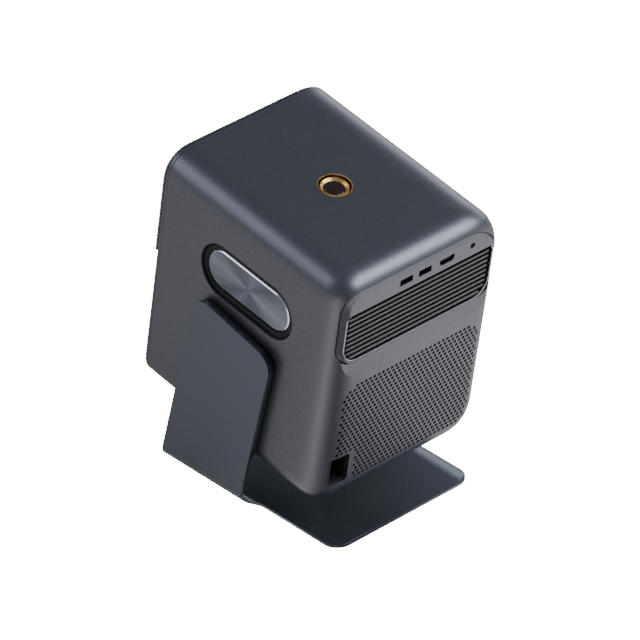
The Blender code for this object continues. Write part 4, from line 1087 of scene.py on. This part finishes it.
def add_stand():
    """One powder coated sheet, folded once into the base and the leaning arm."""
    neutral = bend_radius - plate_thickness / 2
    bend_line = arm_plane - bend_radius - base_far_edge
    bend_end = bend_line + neutral * math.pi / 2
    unrolled = bend_end - plate_underside - bend_radius
    lean = math.tan(arm_lean)
    front_y, front_z = leaning(arm_reach, -arm_width / 2)
    rear_y, rear_z = leaning(arm_reach, arm_width / 2)
    foot_rear = rear_y - (rear_z + unrolled - bend_line) * lean
    front_meet = front_z + unrolled - (front_y - base_front_edge) / lean
    outline = filleted([
        (0.0, base_front_edge, base_corner),
        (0.0, base_rear_edge, base_corner),
        (bend_line, base_rear_edge, base_corner),
        (bend_line, foot_rear, foot_fillet),
        (rear_z + unrolled, rear_y, arm_corner),
        (front_z + unrolled, front_y, arm_corner),
        (front_meet, base_front_edge, base_corner),
    ], steps=18)
    flat = loft([[Vector((u, v, height)) for u, v in outline] for height in (0.0, plate_thickness)])
    steps = 24
    for step in range(steps + 1):
        place = bend_line + (bend_end - bend_line) * step / steps
        everything = flat.verts[:] + flat.edges[:] + flat.faces[:]
        bmesh.ops.bisect_plane(flat, geom=everything, plane_co=(place, 0, 0), plane_no=(1, 0, 0))
    for point in flat.verts:
        place, back, height = point.co
        turn = min(max(place - bend_line, 0.0) / neutral, math.pi / 2)
        reach = bend_radius - height
        across = base_far_edge + min(place, bend_line) + reach * math.sin(turn)
        up = plate_underside + bend_radius - reach * math.cos(turn) + max(place - bend_end, 0.0)
        point.co = (across, back, up)
    sheet = solid("folded_stand", flat)
    soften(sheet, 0.5, 3, 40.0)
    settle(sheet, coat, "stand", MODEL, replaces=("stand_plate",))

    half = arm_width / 2 - liner_inset
    head = arm_reach - liner_inset
    foot = -(pivot.z - liner_foot_height) / math.cos(arm_lean)
    outline = filleted([
        (*leaning(head, -half), arm_corner - liner_inset),
        (*leaning(head, half), arm_corner - liner_inset),
        (*leaning(foot, half), liner_corner),
        (*leaning(foot, -half), liner_corner),
    ], steps=16)
    outer = arm_plane - plate_thickness - GAP
    liner = swept("arm_cover", outline, outer - liner_thickness, outer, "X")
    well = circle(0.0, pivot.z, shaft_head_radius + GAP)
    cut(liner, swept("well", well, outer - liner_well_reach, outer + liner_well_reach, "X"))
    settle(soften(liner, 0.7, 3), black_abs, "stand", MODEL, replaces=("arm_liner",))


def dress_nodes():
    """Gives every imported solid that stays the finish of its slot."""
    finishes = {
        "satin_slate": paint, "coated_steel": coat, "black_plastic": black_abs, "grey_plastic": grey_abs,
        "black_glass": acrylic, "black_rubber": rubber, "gold": gold, "bright_steel": nickel,
        "spun_aluminium": spun, "board_green": board, "lens_glass": lens_glass, "paper_cone": cone}
    slots = {entry["node"]: entry["material_slot"] for entry in frame["record"]["subparts"]}
    for name, node in frame["nodes"].items():
        node.data.materials.clear()
        node.data.materials.append(finishes[slots[name]])


# Studio, in metres and degrees

table_reach = 4.0
light_aim = Vector((0.0, 0.0, 0.14))
# Levels of painted light that the table throws at the part, as (place round it, level), with a dark gap
table_glow_zones = [
    (0.0, 0.25), (0.30, 0.2), (0.40, 0.3), (0.50, 0.4), (0.575, 0.9), (0.62, 0.3), (0.655, 0.02),
    (0.71, 0.02), (0.77, 0.55), (0.82, 0.9), (0.9, 0.85), (1.0, 0.25)]


def heading(azimuth, elevation):
    """Unit vector away from the part."""
    turn = math.radians(azimuth)
    climb = math.radians(elevation)
    level = math.cos(climb)
    return Vector((math.sin(turn) * level, -math.cos(turn) * level, math.sin(climb)))


def hang(name, data, place, away, roll=0.0):
    """Puts a camera or a light at a place from which it looks back at the part."""
    made = bpy.data.objects.new(name, data)
    made.location = place
    made.rotation_mode = "QUATERNION"
    rolled = Matrix.Rotation(math.radians(roll), 3, "Z").to_quaternion()
    made.rotation_quaternion = away.to_track_quat("Z", "Y") @ rolled
    bpy.context.scene.collection.objects.link(made)
    return made


def add_camera():
    """Long lens at the photograph's angle, with the photograph's slight roll."""
    away = heading(137.4457, 33.0846)
    distance = 4.538
    aim = Vector((0.02345, 0.02637, 0.14621))
    data = bpy.data.cameras.new("camera")
    data.sensor_width = 36.0
    data.lens = 343.5
    data.clip_end = 50.0
    bpy.context.scene.camera = hang("camera", data, aim + away * distance, away, -0.4872)


def add_light(name, azimuth, elevation, distance, size, power, tone="FFFFFF"):
    """Soft box that faces the part from a direction and a distance."""
    away = heading(azimuth, elevation)
    data = bpy.data.lights.new(name, "AREA")
    data.shape = "RECTANGLE"
    data.size, data.size_y = size
    data.energy = power
    data.color = srgb(tone)[:3]
    hang(name, data, light_aim + away * distance, away)


def glowing_table():
    """Acrylic table that glows: pure white to the camera. To the part its glow is painted light: soft
    zones of light behind and beside it, with a dark gap between them that draws the case's rolled
    edge, and dimmer close to the part as painted shade."""
    made, tree, shader = start_material("table_with_painted_glow", Roughness=0.9)
    shader.inputs["Base Color"].default_value = srgb("8C8A87")
    shader.inputs["Emission Color"].default_value = srgb("FFF9F0")
    place = add(tree, "ShaderNodeTexCoord").outputs["Object"]
    angle = add(tree, "ShaderNodeTexGradient", {"gradient_type": "RADIAL"}, {"Vector": place})
    greys = [(position, (level, level, level, 1.0)) for position, level in table_glow_zones]
    glow_zones = ramp(tree, angle.outputs["Fac"], greys, "EASE")
    away = add(tree, "ShaderNodeVectorMath", {"operation": "LENGTH"}, {0: place})
    # Painted shade: the table's glow dims close to the part
    rise = add(tree, "ShaderNodeMapRange", {"interpolation_type": "SMOOTHSTEP"}, {
        "Value": away.outputs["Value"], "From Min": 0.1, "From Max": 0.3, "To Min": 1.1, "To Max": 1.55})
    painted_light_to_part = add(tree, "ShaderNodeMath", {"operation": "MULTIPLY"}, {
        0: glow_zones, 1: rise.outputs["Result"]})
    direct = add(tree, "ShaderNodeLightPath").outputs["Is Camera Ray"]
    to_camera = 18.0
    glow = add(tree, "ShaderNodeMath", {"operation": "MULTIPLY_ADD"}, {
        0: direct, 1: to_camera, 2: painted_light_to_part.outputs[0]})
    tree.links.new(glow.outputs[0], shader.inputs["Emission Strength"])
    return made


def add_studio():
    """Table glowing with painted light for a floor, a dim room with a white backdrop, and three soft
    boxes.
    """
    world = bpy.data.worlds.new("studio")
    world.use_nodes = True
    tree = world.node_tree
    tree.nodes.clear()
    direct = add(tree, "ShaderNodeLightPath")
    room = add(tree, "ShaderNodeBackground", None, {"Color": srgb("8E9098"), "Strength": 0.9})
    backdrop = add(tree, "ShaderNodeBackground", None, {"Color": srgb("FFFFFF"), "Strength": 20.0})
    mix = add(tree, "ShaderNodeMixShader", None, {"Fac": direct.outputs["Is Camera Ray"]})
    tree.links.new(room.outputs[0], mix.inputs[1])
    tree.links.new(backdrop.outputs[0], mix.inputs[2])
    add(tree, "ShaderNodeOutputWorld", None, {"Surface": mix.outputs[0]})
    bpy.context.scene.world = world

    sheet = bmesh.new()
    bmesh.ops.create_grid(sheet, x_segments=1, y_segments=1, size=table_reach)
    floor = solid("floor", sheet)
    floor.data.materials.append(glowing_table())

    add_light("top_rear_box", 220.0, 40.0, 1.5, (1.25, 0.75), 19.0)
    add_light("near_left_box", 42.0, 35.0, 1.8, (1.5, 1.3), 11.5, "F6F6FF")
    add_light("far_box", 290.0, 10.0, 1.8, (1.4, 0.5), 6.0)


add_case_shell()
add_rear_insert()
add_louvre()
add_sockets()
add_radiator()
add_button()
add_front()
add_stand()
dress_nodes()
add_camera()
add_studio()
